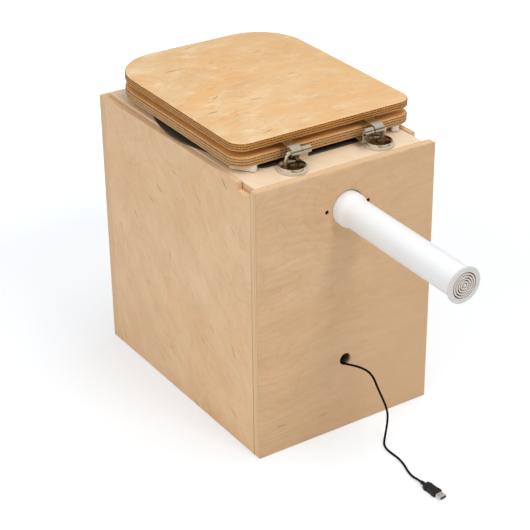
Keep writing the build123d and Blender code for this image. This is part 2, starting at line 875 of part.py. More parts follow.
# Seat and lid share one outline
def seat_outline(plane):
    """The outline of the seat and the lid on a plane of the board's frame."""
    with BuildSketch(plane) as outline:
        with BuildLine():
            Polyline(
                (seat_shift - seat_width / 2, seat_front),
                (seat_shift + seat_width / 2, seat_front),
                (seat_shift + seat_width / 2, seat_back),
                (seat_shift - seat_width / 2, seat_back),
                close=True,
            )
        make_face()
        fillet(outline.vertices().sort_by(Axis.Y)[:2], seat_front_corner)
        fillet(outline.vertices().sort_by(Axis.Y)[-2:], seat_back_corner)
    return outline.sketch


def strap_screw_points(inner, outer, sign):
    """The two screw places of a strap, in the board's frame."""
    across = seat_shift + sign * (inner + outer) / 2
    return [
        (across, hinge_back_place - strap_screw_near),
        (across, hinge_back_place - strap_screw_far),
    ]


seat_strap_points = []
lid_strap_points = []
for sign in hinge_signs:
    seat_strap_points += strap_screw_points(seat_barrel_inner, barrel_middle, sign)
    lid_strap_points += strap_screw_points(barrel_middle, lid_barrel_outer, sign)

# Seat ring
with BuildPart() as seat_ring:
    extrude(seat_outline(board_plane.offset(seat_under_gap)), amount=seat_thickness)
    outer_rim = seat_ring.faces().sort_by(board_axis)[-1].edges()
    fillet(outer_rim, seat_edge_ease)
    lower_rim = seat_ring.faces().sort_by(board_axis)[0].edges()
    fillet(lower_rim, seat_edge_ease / 2)
    with BuildSketch(board_plane.offset(seat_under_gap)) as ring_hole:
        with Locations((seat_shift, ring_back_place)):
            Circle(ring_back_radius)
        with Locations((seat_shift, ring_front_place)):
            Circle(ring_front_radius)
        make_hull()
    extrude(amount=seat_thickness, mode=Mode.SUBTRACT)
    hole_edges = seat_ring.edges().filter_by(
        lambda e: abs(e.center().X - seat_shift) < ring_back_radius + ring_edge_ease
        and e.center().Y < ring_back_place + ring_back_radius + ring_edge_ease
        and e.center().Y > ring_front_place - ring_front_radius - ring_edge_ease
    )
    hole_top_edges = hole_edges.filter_by(
        lambda e: board_plane.to_local_coords(e.center()).Z > seat_top - seat_edge_ease / 2
    )
    fillet(hole_top_edges, ring_edge_ease)
    with BuildSketch(board_plane.offset(seat_under_gap)) as seat_pilot:
        with Locations(*seat_strap_points):
            Circle(screw_radius + screw_clearance)
    extrude(amount=screw_depth + screw_clearance, mode=Mode.SUBTRACT)
seat_ring.part.label = "seat_ring"
export_step(seat_ring.part, "parts/seat_ring.step")

# Lid
with BuildPart() as lid:
    extrude(seat_outline(board_plane.offset(lid_under)), amount=lid_thickness)
    fillet(lid.faces().sort_by(board_axis)[-1].edges(), lid_edge_ease)
    fillet(lid.faces().sort_by(board_axis)[0].edges(), lid_edge_ease / 2)
    with BuildSketch(board_plane.offset(lid_under)) as lid_pilot:
        with Locations(*lid_strap_points):
            Circle(screw_radius + screw_clearance)
    extrude(amount=screw_depth + screw_clearance, mode=Mode.SUBTRACT)
lid.part.label = "lid"
export_step(lid.part, "parts/lid.step")

# Straps: a barrel on the hinge rod and a flat leaf under the wood
strap_front = hinge_back_place - seat_barrel_radius
strap_step_level = washer_height + dish_height + strap_dish_gap
for side, sign in (("left", 1), ("right", -1)):
    inner_place = seat_shift + sign * seat_barrel_inner
    middle_place = seat_shift + sign * barrel_middle
    outer_place = seat_shift + sign * lid_barrel_outer
    with BuildPart() as seat_strap:
        with BuildSketch(board_profile_plane(inner_place)) as seat_strap_profile:
            with BuildLine():
                Polyline(
                    (hinge_back_place - strap_reach, seat_under_gap),
                    (seat_back, seat_under_gap),
                    (seat_back + strap_step_length, strap_step_level + strap_thickness),
                    (strap_front, strap_step_level + strap_thickness),
                    (strap_front, pin_height),
                    (strap_front + strap_thickness, pin_height),
                    (strap_front + strap_thickness, strap_step_level),
                    (seat_back + strap_step_length, strap_step_level),
                    (seat_back, seat_under_gap - strap_thickness),
                    (hinge_back_place - strap_reach, seat_under_gap - strap_thickness),
                    close=True,
                )
            make_face()
            bend_points = seat_strap_profile.vertices().filter_by(
                lambda v: abs(board_plane.to_local_coords(v.center()).Z - strap_step_level)
                < strap_thickness / 2
                and board_plane.to_local_coords(v.center()).Y > strap_front
            )
            fillet(bend_points, strap_bend)
            with Locations((hinge_back_place, pin_height)):
                Circle(seat_barrel_radius)
                Circle(rod_radius + barrel_clearance, mode=Mode.SUBTRACT)
        extrude(amount=sign * (barrel_middle - seat_barrel_inner - barrel_gap))
        with BuildSketch(board_plane.offset(seat_under_gap)) as strap_holes:
            with Locations(*strap_screw_points(seat_barrel_inner, barrel_middle, sign)):
                Circle(screw_radius + screw_clearance)
        extrude(amount=-strap_thickness, mode=Mode.SUBTRACT)
    seat_strap.part.label = f"seat_strap_{side}"
    export_step(seat_strap.part, f"parts/seat_strap_{side}.step")

    with BuildPart() as lid_strap:
        with BuildSketch(board_profile_plane(middle_place)) as lid_strap_profile:
            with BuildLine():
                high_angle = math.radians(lid_strap_root_high)
                low_angle = math.radians(lid_strap_root_low)
                high_point = (
                    hinge_back_place + lid_barrel_radius * math.cos(high_angle),
                    pin_height + lid_barrel_radius * math.sin(high_angle),
                )
                low_point = (
                    hinge_back_place + lid_barrel_radius * math.cos(low_angle),
                    pin_height + lid_barrel_radius * math.sin(low_angle),
                )
                Polyline(
                    high_point,
                    (hinge_back_place, pin_height),
                    low_point,
                    (seat_back + strap_thickness, lid_under - strap_thickness),
                    (hinge_back_place - strap_reach, lid_under - strap_thickness),
                    (hinge_back_place - strap_reach, lid_under),
                    (seat_back + strap_thickness, lid_under),
                )
                Spline(
                    (seat_back + strap_thickness, lid_under),
                    high_point,
                    tangents=[(1, 0), (math.sin(high_angle), -math.cos(high_angle))],
                )
            make_face()
            with Locations((hinge_back_place, pin_height)):
                Circle(lid_barrel_radius)
                Circle(rod_radius + barrel_clearance, mode=Mode.SUBTRACT)
        extrude(amount=sign * (lid_barrel_outer - barrel_middle))
        with BuildSketch(board_plane.offset(lid_under)) as strap_holes:
            with Locations(*strap_screw_points(barrel_middle, lid_barrel_outer, sign)):
                Circle(screw_radius + screw_clearance)
        extrude(amount=-strap_thickness, mode=Mode.SUBTRACT)
    lid_strap.part.label = f"lid_strap_{side}"
    export_step(lid_strap.part, f"parts/lid_strap_{side}.step")

    # Hinge rod: the pin, a tight bend and a post that ends in a ball foot
    with BuildPart() as hinge_rod:
        with BuildLine() as rod_line:
            FilletPolyline(
                on_board(seat_shift + sign * rod_inner_end, hinge_back_place, pin_height),
                on_board(seat_shift + sign * rod_post_place, hinge_back_place, pin_height),
                on_board(seat_shift + sign * rod_post_place, rod_foot_back, rod_foot_height),
                radius=rod_bend_radius,
            )
        with BuildSketch(Plane(origin=rod_line.line @ 0, z_dir=rod_line.line % 0)):
            Circle(rod_radius)
        sweep(path=rod_line.line)
        with Locations(
            on_board(seat_shift + sign * rod_post_place, rod_foot_back, rod_foot_height)
        ):
            Sphere(rod_foot_radius)
    hinge_rod.part.label = f"hinge_rod_{side}"
    export_step(hinge_rod.part, f"parts/hinge_rod_{side}.step")

    # Hinge dish: a shallow chrome cup on the translucent washer
    dish_centre = (seat_shift + sign * hinge_side_place, hinge_back_place)
    with BuildPart() as hinge_dish:
        with BuildSketch(board_plane.offset(washer_height)) as dish_outline:
            with Locations(dish_centre):
                Circle(dish_radius)
        extrude(amount=dish_height)
        fillet(hinge_dish.faces().sort_by(board_axis)[-1].edges(), dish_wall / 2)
        with BuildSketch(board_plane.offset(washer_height + dish_floor)) as dish_cut:
            with Locations(dish_centre):
                Circle(dish_radius - dish_wall)
        extrude(amount=dish_height, mode=Mode.SUBTRACT)
        with BuildSketch(board_plane.offset(washer_height)) as dish_hole:
            with Locations(dish_centre):
                Circle(bolt_radius + bolt_clearance)
        extrude(amount=dish_height, mode=Mode.SUBTRACT)
    hinge_dish.part.label = f"hinge_dish_{side}"
    export_step(hinge_dish.part, f"parts/hinge_dish_{side}.step")

    # Clamp plate in the dish, with a socket for the post's ball foot
    plate_level = washer_height + dish_floor
    with BuildPart() as hinge_plate:
        with BuildSketch(board_plane.offset(plate_level)) as plate_outline:
            with Locations(dish_centre):
                RectangleRounded(plate_length, plate_width, plate_corner)
            with Locations((seat_shift + sign * rod_post_place, rod_foot_back)):
                Circle(rod_foot_radius + socket_clearance, mode=Mode.SUBTRACT)
            with Locations(dish_centre):
                Circle(bolt_radius + bolt_clearance, mode=Mode.SUBTRACT)
        extrude(amount=plate_thickness)
    hinge_plate.part.label = f"hinge_plate_{side}"
    export_step(hinge_plate.part, f"parts/hinge_plate_{side}.step")

# Strap screws of the seat and of the lid
with BuildPart() as seat_strap_screws:
    with BuildSketch(board_plane.offset(seat_under_gap - strap_thickness)):
        with Locations(*seat_strap_points):
            Circle(screw_head_radius)
    extrude(amount=-screw_head_height)
    fillet(
        seat_strap_screws.edges().group_by(board_axis)[0],
        screw_head_ease,
    )
    with BuildSketch(board_plane.offset(seat_under_gap - strap_thickness)):
        with Locations(*seat_strap_points):
            Circle(screw_radius)
    extrude(amount=strap_thickness + screw_depth)
seat_strap_screws.part.label = "seat_strap_screws"
export_step(seat_strap_screws.part, "parts/seat_strap_screws.step")

with BuildPart() as lid_strap_screws:
    with BuildSketch(board_plane.offset(lid_under - strap_thickness)):
        with Locations(*lid_strap_points):
            Circle(screw_head_radius)
    extrude(amount=-screw_head_height)
    fillet(
        lid_strap_screws.edges().group_by(board_axis)[0],
        screw_head_ease,
    )
    with BuildSketch(board_plane.offset(lid_under - strap_thickness)):
        with Locations(*lid_strap_points):
            Circle(screw_radius)
    extrude(amount=strap_thickness + screw_depth)
lid_strap_screws.part.label = "lid_strap_screws"
export_step(lid_strap_screws.part, "parts/lid_strap_screws.step")

# Hinge washers, bolts and nuts, one of each to a hinge
hinge_centres = []
for sign in hinge_signs:
    hinge_centres.append((seat_shift + sign * hinge_side_place, hinge_back_place))

with BuildPart() as hinge_washers:
    with BuildSketch(board_plane) as washer_outline:
        with Locations(*hinge_centres):
            Circle(washer_radius)
            Circle(bolt_radius + bolt_clearance, mode=Mode.SUBTRACT)
    extrude(amount=washer_height)
    washer_rims = hinge_washers.edges().group_by(board_axis)[-1].filter_by(
        lambda e: e.radius > dish_radius
    )
    fillet(washer_rims, washer_ease)
hinge_washers.part.label = "hinge_washers"
export_step(hinge_washers.part, "parts/hinge_washers.step")

bolt_seat_level = washer_height + dish_floor + plate_thickness
bolt_end_level = -board_thickness - nut_washer_height - nut_height - bolt_tail
with BuildPart() as hinge_bolts:
    with BuildSketch(board_plane.offset(bolt_seat_level)):
        with Locations(*hinge_centres):
            Circle(bolt_head_radius)
    extrude(amount=bolt_head_height)
    fillet(hinge_bolts.edges().group_by(board_axis)[-1], bolt_head_ease)
    with BuildSketch(board_plane.offset(bolt_seat_level)):
        with Locations(*hinge_centres):
            Circle(bolt_radius)
    extrude(amount=bolt_end_level - bolt_seat_level)
hinge_bolts.part.label = "hinge_bolts"
export_step(hinge_bolts.part, "parts/hinge_bolts.step")

with BuildPart() as hinge_nuts:
    with BuildSketch(board_plane.offset(-board_thickness - nut_washer_height)):
        with Locations(*hinge_centres):
            RegularPolygon(nut_radius, 6)
            Circle(bolt_radius + screw_clearance, mode=Mode.SUBTRACT)
    extrude(amount=-nut_height)
    with BuildSketch(board_plane.offset(-board_thickness)):
        with Locations(*hinge_centres):
            Circle(nut_washer_radius)
            Circle(bolt_radius + screw_clearance, mode=Mode.SUBTRACT)
    extrude(amount=-nut_washer_height)
hinge_nuts.part.label = "hinge_nuts"
export_step(hinge_nuts.part, "parts/hinge_nuts.step")

# Seat buffers: soft bars set across the corners, a little hollow underneath
buffer_height = seat_under_gap - buffer_rest_gap
buffer_places = [
    (seat_shift + buffer_side_place, buffer_back_place, 180 - buffer_turn_degrees),
    (seat_shift - buffer_side_place, buffer_back_place, buffer_turn_degrees),
    (seat_shift + buffer_front_side, buffer_front_place, buffer_turn_degrees),
    (seat_shift - buffer_front_side, buffer_front_place, 180 - buffer_turn_degrees),
]
with BuildPart() as seat_buffers:
    for across, back, turn in buffer_places:
        with BuildSketch(board_plane.offset(buffer_rest_gap)):
            with Locations(Location((across, back), turn)):
                RectangleRounded(buffer_length, buffer_width, buffer_corner)
        extrude(amount=buffer_height)
    fillet(seat_buffers.edges().group_by(board_axis)[0], buffer_ease)
    for across, back, turn in buffer_places:
        bar_direction = Vector(math.cos(math.radians(turn)), math.sin(math.radians(turn)), 0)
        bar_across = Vector(-bar_direction.Y, bar_direction.X, 0)
        cut_origin = on_board(
            across - bar_across.X * buffer_width,
            back - bar_across.Y * buffer_width,
            buffer_rest_gap,
        )
        cut_x = board_plane.x_dir * bar_direction.X + board_plane.y_dir * bar_direction.Y
        cut_z = board_plane.x_dir * bar_across.X + board_plane.y_dir * bar_across.Y
        with BuildSketch(Plane(origin=cut_origin, x_dir=cut_x, z_dir=cut_z)):
            with BuildLine():
                Line((buffer_hollow_length / 2, 0), (-buffer_hollow_length / 2, 0))
                arch_side = math.copysign(buffer_hollow, -cut_z.cross(cut_x).Z)
                ThreePointArc(
                    (-buffer_hollow_length / 2, 0),
                    (0, -arch_side),
                    (buffer_hollow_length / 2, 0),
                )
            make_face()
        extrude(amount=2 * buffer_width, mode=Mode.SUBTRACT)
seat_buffers.part.label = "seat_buffers"
export_step(seat_buffers.part, "parts/seat_buffers.step")

# Lid bumpers: four round pads under the lid
with BuildPart() as lid_bumpers:
    with BuildSketch(board_plane.offset(lid_under)) as bumper_outline:
        for back in (bumper_front_place, bumper_back_place):
            with Locations((seat_shift, back)):
                with GridLocations(2 * bumper_side_place, 0, 2, 1):
                    Circle(bumper_radius)
    extrude(amount=-lid_under_gap + bumper_rest_gap)
    fillet(lid_bumpers.edges().group_by(board_axis)[0], bumper_ease)
lid_bumpers.part.label = "lid_bumpers"
export_step(lid_bumpers.part, "parts/lid_bumpers.step")

# The pipe's own frame: it leaves the back panel's face and falls a little
pipe_direction = Vector(0, math.cos(fall), -math.sin(fall))
pipe_origin = Vector(0, half_depth, pipe_height)
pipe_axis = Axis(pipe_origin, pipe_direction)
pipe_section = Plane(
    origin=pipe_origin, x_dir=(1, 0, 0), z_dir=(0, math.sin(fall), math.cos(fall))
)


def pipe_plane(along):
    """A plane square to the pipe, some way along it."""
    return Plane(
        origin=pipe_origin + pipe_direction * along, x_dir=(1, 0, 0), z_dir=pipe_direction
    )


# Vent pipe with its socket at the wall and a smooth taper
with BuildPart() as vent_pipe:
    with BuildSketch(pipe_section) as pipe_profile:
        with BuildLine():
            Line((socket_radius - socket_wall, -socket_inside), (socket_radius, -socket_inside))
            Line((socket_radius, -socket_inside), (socket_radius, socket_outside))
            Spline(
                (socket_radius, socket_outside),
                (pipe_radius, socket_taper_end),
                tangents=[(0, 1), (0, 1)],
            )
            Line((pipe_radius, socket_taper_end), (pipe_radius, pipe_length))
            Line((pipe_radius, pipe_length), (pipe_radius - pipe_wall, pipe_length))
            Line(
                (pipe_radius - pipe_wall, pipe_length),
                (pipe_radius - pipe_wall, socket_taper_end),
            )
            Spline(
                (pipe_radius - pipe_wall, socket_taper_end),
                (socket_radius - socket_wall, socket_outside),
                tangents=[(0, -1), (0, -1)],
            )
            Line(
                (socket_radius - socket_wall, socket_outside),
                (socket_radius - socket_wall, -socket_inside),
            )
        make_face()
    revolve(axis=pipe_axis)
vent_pipe.part.label = "vent_pipe"
export_step(vent_pipe.part, "parts/vent_pipe.step")

# End grille: a flange with concentric slots, ribs behind them and a spigot
grille_bore = pipe_radius - pipe_wall - grille_clearance
with BuildPart() as end_grille:
    with BuildSketch(pipe_plane(pipe_length)) as grille_face:
        Circle(grille_flange_radius)
    extrude(amount=grille_flange_thickness)
    fillet(end_grille.edges().sort_by(pipe_axis)[-1], grille_flange_ease)
    with BuildSketch(pipe_plane(pipe_length - grille_clearance)) as grille_slots:
        for number in range(grille_slot_count):
            slot_outer = grille_ring_outer - number * grille_ring_pitch
            Circle(slot_outer)
            Circle(slot_outer - grille_slot_width, mode=Mode.SUBTRACT)
    extrude(amount=grille_flange_thickness + cut_overrun, mode=Mode.SUBTRACT)
    with BuildSketch(pipe_plane(pipe_length)) as grille_ribs:
        Rectangle(2 * grille_ring_outer, grille_rib_width)
        Rectangle(grille_rib_width, 2 * grille_ring_outer)
    extrude(amount=-grille_rib_depth)
    with BuildSketch(pipe_plane(pipe_length)) as grille_spigot:
        Circle(grille_bore)
        Circle(grille_bore - grille_spigot_wall, mode=Mode.SUBTRACT)
    extrude(amount=-grille_spigot_length)
    with BuildSketch(pipe_plane(pipe_length)) as grille_rib_joint:
        Circle(grille_slot_width)
    extrude(amount=-grille_rib_depth)
end_grille.part.label = "end_grille"
export_step(end_grille.part, "parts/end_grille.step")

# Fan housing: a square box that narrows to a round spigot inside the socket
housing_height = pipe_height + panel_thickness * math.tan(fall)
spigot_radius = socket_radius - socket_wall - spigot_clearance
housing_front = inner_half_depth - housing_depth
with BuildPart() as fan_housing:
    with BuildSketch(Plane.XZ.offset(-inner_half_depth)) as housing_outline:
        with Locations((0, housing_height)):
            RectangleRounded(housing_size, housing_size, housing_corner)
    extrude(amount=housing_depth)
    with BuildSketch(pipe_plane(spigot_length - panel_thickness - housing_depth / 2)) as spigot:
        Circle(spigot_radius)
    extrude(amount=-spigot_length)
    with BuildSketch(Plane.XZ.offset(-housing_front)) as housing_mouth:
        with Locations((0, housing_height)):
            Circle(fan_bore_radius)
    with BuildSketch(pipe_plane(-panel_thickness)) as housing_throat:
        Circle(spigot_radius - spigot_wall)
    loft(
        sections=[housing_mouth.sketch, housing_throat.sketch],
        ruled=True,
        mode=Mode.SUBTRACT,
    )
    with BuildSketch(pipe_plane(-panel_thickness - spigot_wall / 2)) as spigot_bore:
        Circle(spigot_radius - spigot_wall)
    extrude(amount=spigot_length, mode=Mode.SUBTRACT)
    with BuildSketch(Plane.XZ.offset(-housing_front)) as housing_pilots:
        with Locations((0, housing_height)):
            with GridLocations(fan_hole_pitch, fan_hole_pitch, 2, 2):
                Circle(screw_radius + screw_clearance)
    extrude(amount=-fan_screw_tail - screw_clearance, mode=Mode.SUBTRACT)
fan_housing.part.label = "fan_housing"
export_step(fan_housing.part, "parts/fan_housing.step")

# Fan frame with its hub plate, struts and shaft
fan_front = housing_front - fan_depth
with BuildPart() as fan_frame:
    with BuildSketch(Plane.XZ.offset(-housing_front)) as frame_outline:
        with Locations((0, housing_height)):
            RectangleRounded(housing_size, housing_size, housing_corner)
            Circle(fan_bore_radius, mode=Mode.SUBTRACT)
            with GridLocations(fan_hole_pitch, fan_hole_pitch, 2, 2):
                Circle(fan_hole_radius, mode=Mode.SUBTRACT)
    extrude(amount=fan_depth)
    with BuildSketch(Plane.XZ.offset(-fan_front)) as hub_outline:
        with Locations((0, housing_height)):
            Circle(fan_hub_radius)
            with PolarLocations(0, 4, start_angle=45):
                with Locations(((fan_hub_radius + fan_bore_radius) / 2, 0)):
                    Rectangle(fan_bore_radius - fan_hub_radius + fan_strut_width, fan_strut_width)
    extrude(amount=-fan_hub_plate)
    with BuildSketch(Plane.XZ.offset(-fan_front)) as shaft_outline:
        with Locations((0, housing_height)):
            Circle(shaft_radius)
    extrude(amount=-fan_hub_plate - shaft_length)
fan_frame.part.label = "fan_frame"
export_step(fan_frame.part, "parts/fan_frame.step")

# Fan rotor: a hollow hub and seven twisted blades
rotor_front = fan_front + fan_hub_plate + rotor_gap
rotor_middle = rotor_front + rotor_hub_depth / 2
with BuildPart() as fan_rotor:
    with BuildSketch(Plane.XZ.offset(-rotor_front)) as rotor_outline:
        with Locations((0, housing_height)):
            Circle(rotor_hub_radius)
    extrude(amount=-rotor_hub_depth)
    for number in range(blade_count):
        angle = math.radians(number * 360 / blade_count)
        outward = Vector(math.cos(angle), 0, math.sin(angle))
        hub_centre = Vector(0, rotor_middle, housing_height)
        root_plane = Plane(
            origin=hub_centre + outward * (rotor_hub_radius - rotor_hub_wall),
            x_dir=(0, 1, 0),
            z_dir=outward,
        )
        tip_plane = Plane(
            origin=hub_centre + outward * (fan_bore_radius - blade_tip_gap),
            x_dir=(0, 1, 0),
            z_dir=outward,
        )
        with BuildSketch(root_plane) as blade_root:
            Rectangle(blade_root_chord, blade_thickness, rotation=blade_root_degrees)
        with BuildSketch(tip_plane) as blade_tip:
            Rectangle(blade_tip_chord, blade_thickness, rotation=blade_tip_degrees)
        loft(sections=[blade_root.sketch, blade_tip.sketch], ruled=True)
    with BuildSketch(Plane.XZ.offset(-rotor_front)) as rotor_bore:
        with Locations((0, housing_height)):
            Circle(shaft_radius + shaft_clearance)
    extrude(amount=-rotor_hub_depth, mode=Mode.SUBTRACT)
fan_rotor.part.label = "fan_rotor"
export_step(fan_rotor.part, "parts/fan_rotor.step")

# Four fan screws
with BuildPart() as fan_screws:
    with BuildSketch(Plane.XZ.offset(-fan_front)):
        with Locations((0, housing_height)):
            with GridLocations(fan_hole_pitch, fan_hole_pitch, 2, 2):
                Circle(screw_head_radius)
    extrude(amount=screw_head_height)
    with BuildSketch(Plane.XZ.offset(-fan_front)):
        with Locations((0, housing_height)):
            with GridLocations(fan_hole_pitch, fan_hole_pitch, 2, 2):
                Circle(screw_radius)
    extrude(amount=-fan_depth - fan_screw_tail)
fan_screws.part.label = "fan_screws"
export_step(fan_screws.part, "parts/fan_screws.step")

# USB lead: straight runs joined by tangent arcs
bend_radii = []
for before, corner, after in zip(cable_points[:-2], cable_points[1:-1], cable_points[2:]):
    run_in = Vector(*corner) - Vector(*before)
    run_out = Vector(*after) - Vector(*corner)
    half_turn = math.radians(run_in.get_angle(run_out)) / 2
    shorter_run = min(run_in.length, run_out.length)
    bend_radii.append(0.45 * shorter_run / math.tan(half_turn))
print("bend radii", [round(radius, 1) for radius in bend_radii])

with BuildPart() as usb_cable:
    with BuildLine() as cable_line:
        FilletPolyline(*cable_points, radius=bend_radii)
    with BuildSketch(Plane(origin=cable_line.line @ 0, z_dir=cable_line.line % 0)):
        Circle(cable_radius)
    sweep(path=cable_line.line)
usb_cable.part.label = "usb_cable"
export_step(usb_cable.part, "parts/usb_cable.step")
cable_wire = cable_line.wires()[0]
cable_length = cable_wire.length
print("cable length", round(cable_length, 1))
print("section x length", round(math.pi * cable_radius**2 * cable_length, 1))
print("cable volume", round(usb_cable.part.volume, 1))

# USB plug: a moulded grip, a metal shell and a tongue, lying on the floor
plug_start = cable_wire @ 1
last_run = Vector(*cable_points[-1]) - Vector(*cable_points[-2])
plug_heading = Vector(last_run.X, last_run.Y, 0).normalized()
plug_side = plug_heading.cross(Vector(0, 0, 1))
plug_centre_height = plug_thickness / 2


def plug_plane(along):
    """A plane square to the plug, some way along it: x across, y down."""
    return Plane(
        origin=Vector(plug_start.X, plug_start.Y, plug_centre_height) + plug_heading * along,
        x_dir=plug_side,
        z_dir=plug_heading,
    )


tail_end = plug_neck_length + plug_tail_length
grip_end = tail_end + plug_grip_length
nose_end = grip_end + plug_nose_length
plug_top_plane = Plane(
    origin=Vector(plug_start.X, plug_start.Y, 0), x_dir=plug_side, z_dir=(0, 0, 1)
)
with BuildPart() as usb_plug_body:
    with BuildSketch(plug_top_plane) as plug_outline:
        with BuildLine():
            Polyline(
                (-plug_tail_width / 2, plug_neck_length),
                (plug_tail_width / 2, plug_neck_length),
                (plug_width / 2, tail_end),
                (plug_width / 2, nose_end),
                (-plug_width / 2, nose_end),
                (-plug_width / 2, tail_end),
                close=True,
            )
        make_face()
    extrude(amount=plug_thickness)
    fillet(usb_plug_body.faces().sort_by(Axis.Z)[-1].edges(), plug_ease / 2)
    fillet(usb_plug_body.faces().sort_by(Axis.Z)[0].edges(), plug_ease / 2)
    with BuildSketch(plug_top_plane) as grip_outline:
        for edge_sign in (1, -1):
            with Locations((edge_sign * plug_width / 2, (tail_end + grip_end) / 2)):
                Rectangle(plug_width - plug_grip_width, plug_grip_length - plug_ease)
    extrude(amount=plug_thickness, mode=Mode.SUBTRACT)
    with BuildSketch(plug_plane(plug_neck_length + plug_ease)) as neck_outline:
        Circle(plug_neck_radius)
    extrude(amount=-plug_neck_length - plug_ease)
    with BuildSketch(plug_plane(nose_end - shell_root)) as shell_pocket:
        Rectangle(shell_width, shell_height)
    extrude(amount=shell_root, mode=Mode.SUBTRACT)
usb_plug_body.part.label = "usb_plug_body"
export_step(usb_plug_body.part, "parts/usb_plug_body.step")

with BuildPart() as usb_plug_shell:
    with BuildSketch(plug_plane(nose_end - shell_root)) as shell_outline:
        Rectangle(shell_width, shell_height)
        Rectangle(
            shell_width - 2 * shell_wall, shell_height - 2 * shell_wall, mode=Mode.SUBTRACT
        )
    extrude(amount=shell_root + shell_length)
    with BuildSketch(plug_top_plane.offset(plug_centre_height)) as window_outline:
        with Locations((0, nose_end + shell_window_place)):
            with GridLocations(shell_window_pitch, 0, 2, 1):
                Rectangle(shell_window, shell_window)
    extrude(amount=shell_height, mode=Mode.SUBTRACT)
usb_plug_shell.part.label = "usb_plug_shell"
export_step(usb_plug_shell.part, "parts/usb_plug_shell.step")

with BuildPart() as usb_plug_tongue:
    with BuildSketch(plug_plane(nose_end - shell_root)) as tongue_root:
        Rectangle(shell_width - 2 * shell_wall, shell_height - 2 * shell_wall)
    extrude(amount=shell_root)
    with BuildSketch(plug_plane(nose_end)) as tongue_outline:
        with Locations((0, -tongue_drop)):
            Rectangle(tongue_width, tongue_height)
    extrude(amount=tongue_length)
usb_plug_tongue.part.label = "usb_plug_tongue"
export_step(usb_plug_tongue.part, "parts/usb_plug_tongue.step")
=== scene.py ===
import math

import bpy
from mathutils import Matrix, Vector


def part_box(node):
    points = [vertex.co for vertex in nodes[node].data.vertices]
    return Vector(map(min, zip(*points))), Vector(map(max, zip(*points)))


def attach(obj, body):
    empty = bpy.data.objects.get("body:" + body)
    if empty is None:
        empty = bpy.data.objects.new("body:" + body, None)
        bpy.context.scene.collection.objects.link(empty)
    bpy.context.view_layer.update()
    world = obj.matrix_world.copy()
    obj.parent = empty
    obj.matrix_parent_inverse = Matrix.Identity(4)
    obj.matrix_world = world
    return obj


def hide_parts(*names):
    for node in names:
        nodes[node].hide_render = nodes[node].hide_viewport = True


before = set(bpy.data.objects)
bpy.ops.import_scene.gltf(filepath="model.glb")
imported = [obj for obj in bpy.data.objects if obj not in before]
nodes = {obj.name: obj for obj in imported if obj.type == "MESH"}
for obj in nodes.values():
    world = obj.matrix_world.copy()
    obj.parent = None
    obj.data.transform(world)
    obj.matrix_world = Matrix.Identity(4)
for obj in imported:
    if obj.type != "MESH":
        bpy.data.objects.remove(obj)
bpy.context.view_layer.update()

# Sizes and slopes as in the frame, in metres; the seat's and lid's tops are over the board's
HALF_WIDTH = 0.164
HALF_DEPTH = 0.235
THICK_PLY = 0.015
THIN_PLY = 0.009
LID_PLY = 0.013
BOARD_TOP = 0.4594
BOARD_TILT = math.radians(1.25)
SEAT_TOP = 0.0255
LID_TOP = 0.0495
PIPE_START = Vector((0, HALF_DEPTH, 0.390))
PIPE_FALL = math.radians(2.4)
PIPE_LENGTH = 0.267
GRILLE_FLANGE = 0.0032
GRILLE_FACE = PIPE_LENGTH + GRILLE_FLANGE
GRILLE_HEIGHT = PIPE_START.z - GRILLE_FACE * math.sin(PIPE_FALL)


# ---- camera, solved from the box's straight edges in the photograph ----
CAMERA_PLACE = Vector((1.250997, 1.912605, 1.397832))
CAMERA_LENS = 105.18
AZIMUTH = math.radians(146.722)
ELEVATION = math.radians(27.828)
ROLL = math.radians(-0.657)
backward = Vector((
    math.sin(AZIMUTH) * math.cos(ELEVATION),
    -math.cos(AZIMUTH) * math.cos(ELEVATION),
    math.sin(ELEVATION),
))
level_right = Vector((0, 0, 1)).cross(backward).normalized()
level_up = backward.cross(level_right)
right = level_right * math.cos(ROLL) + level_up * math.sin(ROLL)
up = level_up * math.cos(ROLL) - level_right * math.sin(ROLL)
camera_data = bpy.data.cameras.new("camera")
camera_data.sensor_width = 36
camera_data.lens = CAMERA_LENS
camera_data.clip_end = 50
camera = bpy.data.objects.new("camera", camera_data)
bpy.context.collection.objects.link(camera)
camera.matrix_world = Matrix((
    (right.x, up.x, backward.x, CAMERA_PLACE.x),
    (right.y, up.y, backward.y, CAMERA_PLACE.y),
    (right.z, up.z, backward.z, CAMERA_PLACE.z),
    (0, 0, 0, 1),
))
bpy.context.scene.camera = camera


# ---- the fan lead, on the route of the frame's tube ----
LEAD_DIAMETER = 0.0036
lead_route = [
    (0.0035, 0.222, 0.118),
    (0.002, 0.236, 0.1182),
    (-0.007, 0.249, 0.1184),
    (-0.014, 0.261, 0.1172),
    (-0.020, 0.271, 0.113),
    (-0.0235, 0.279, 0.104),
    (-0.0255, 0.285, 0.091),
    (-0.0305, 0.290, 0.075),
    (-0.0365, 0.293, 0.058),
    (-0.040, 0.295, 0.043),
    (-0.0395, 0.296, 0.030),
    (-0.037, 0.2975, 0.018),
    (-0.033, 0.300, 0.0085),
    (-0.0275, 0.305, 0.0032),
    (-0.020, 0.313, 0.0018),
    (-0.0145, 0.325, 0.0018),
    (-0.0135, 0.340, 0.0018),
    (-0.0145, 0.357, 0.0018),
    (-0.011, 0.376, 0.0018),
    (-0.0045, 0.394, 0.0018),
    (-0.0015, 0.409, 0.0024),
    (-0.002, 0.421, 0.0041),
    (-0.0024, 0.430, 0.0041),
]
lead_curve = bpy.data.curves.new("fan_lead", "CURVE")
lead_curve.dimensions = "3D"
lead_curve.bevel_depth = 1.0
lead_curve.bevel_resolution = 5
lead_curve.resolution_u = 10
lead_curve.use_fill_caps = True
lead_spline = lead_curve.splines.new("NURBS")
lead_spline.points.add(len(lead_route) - 1)
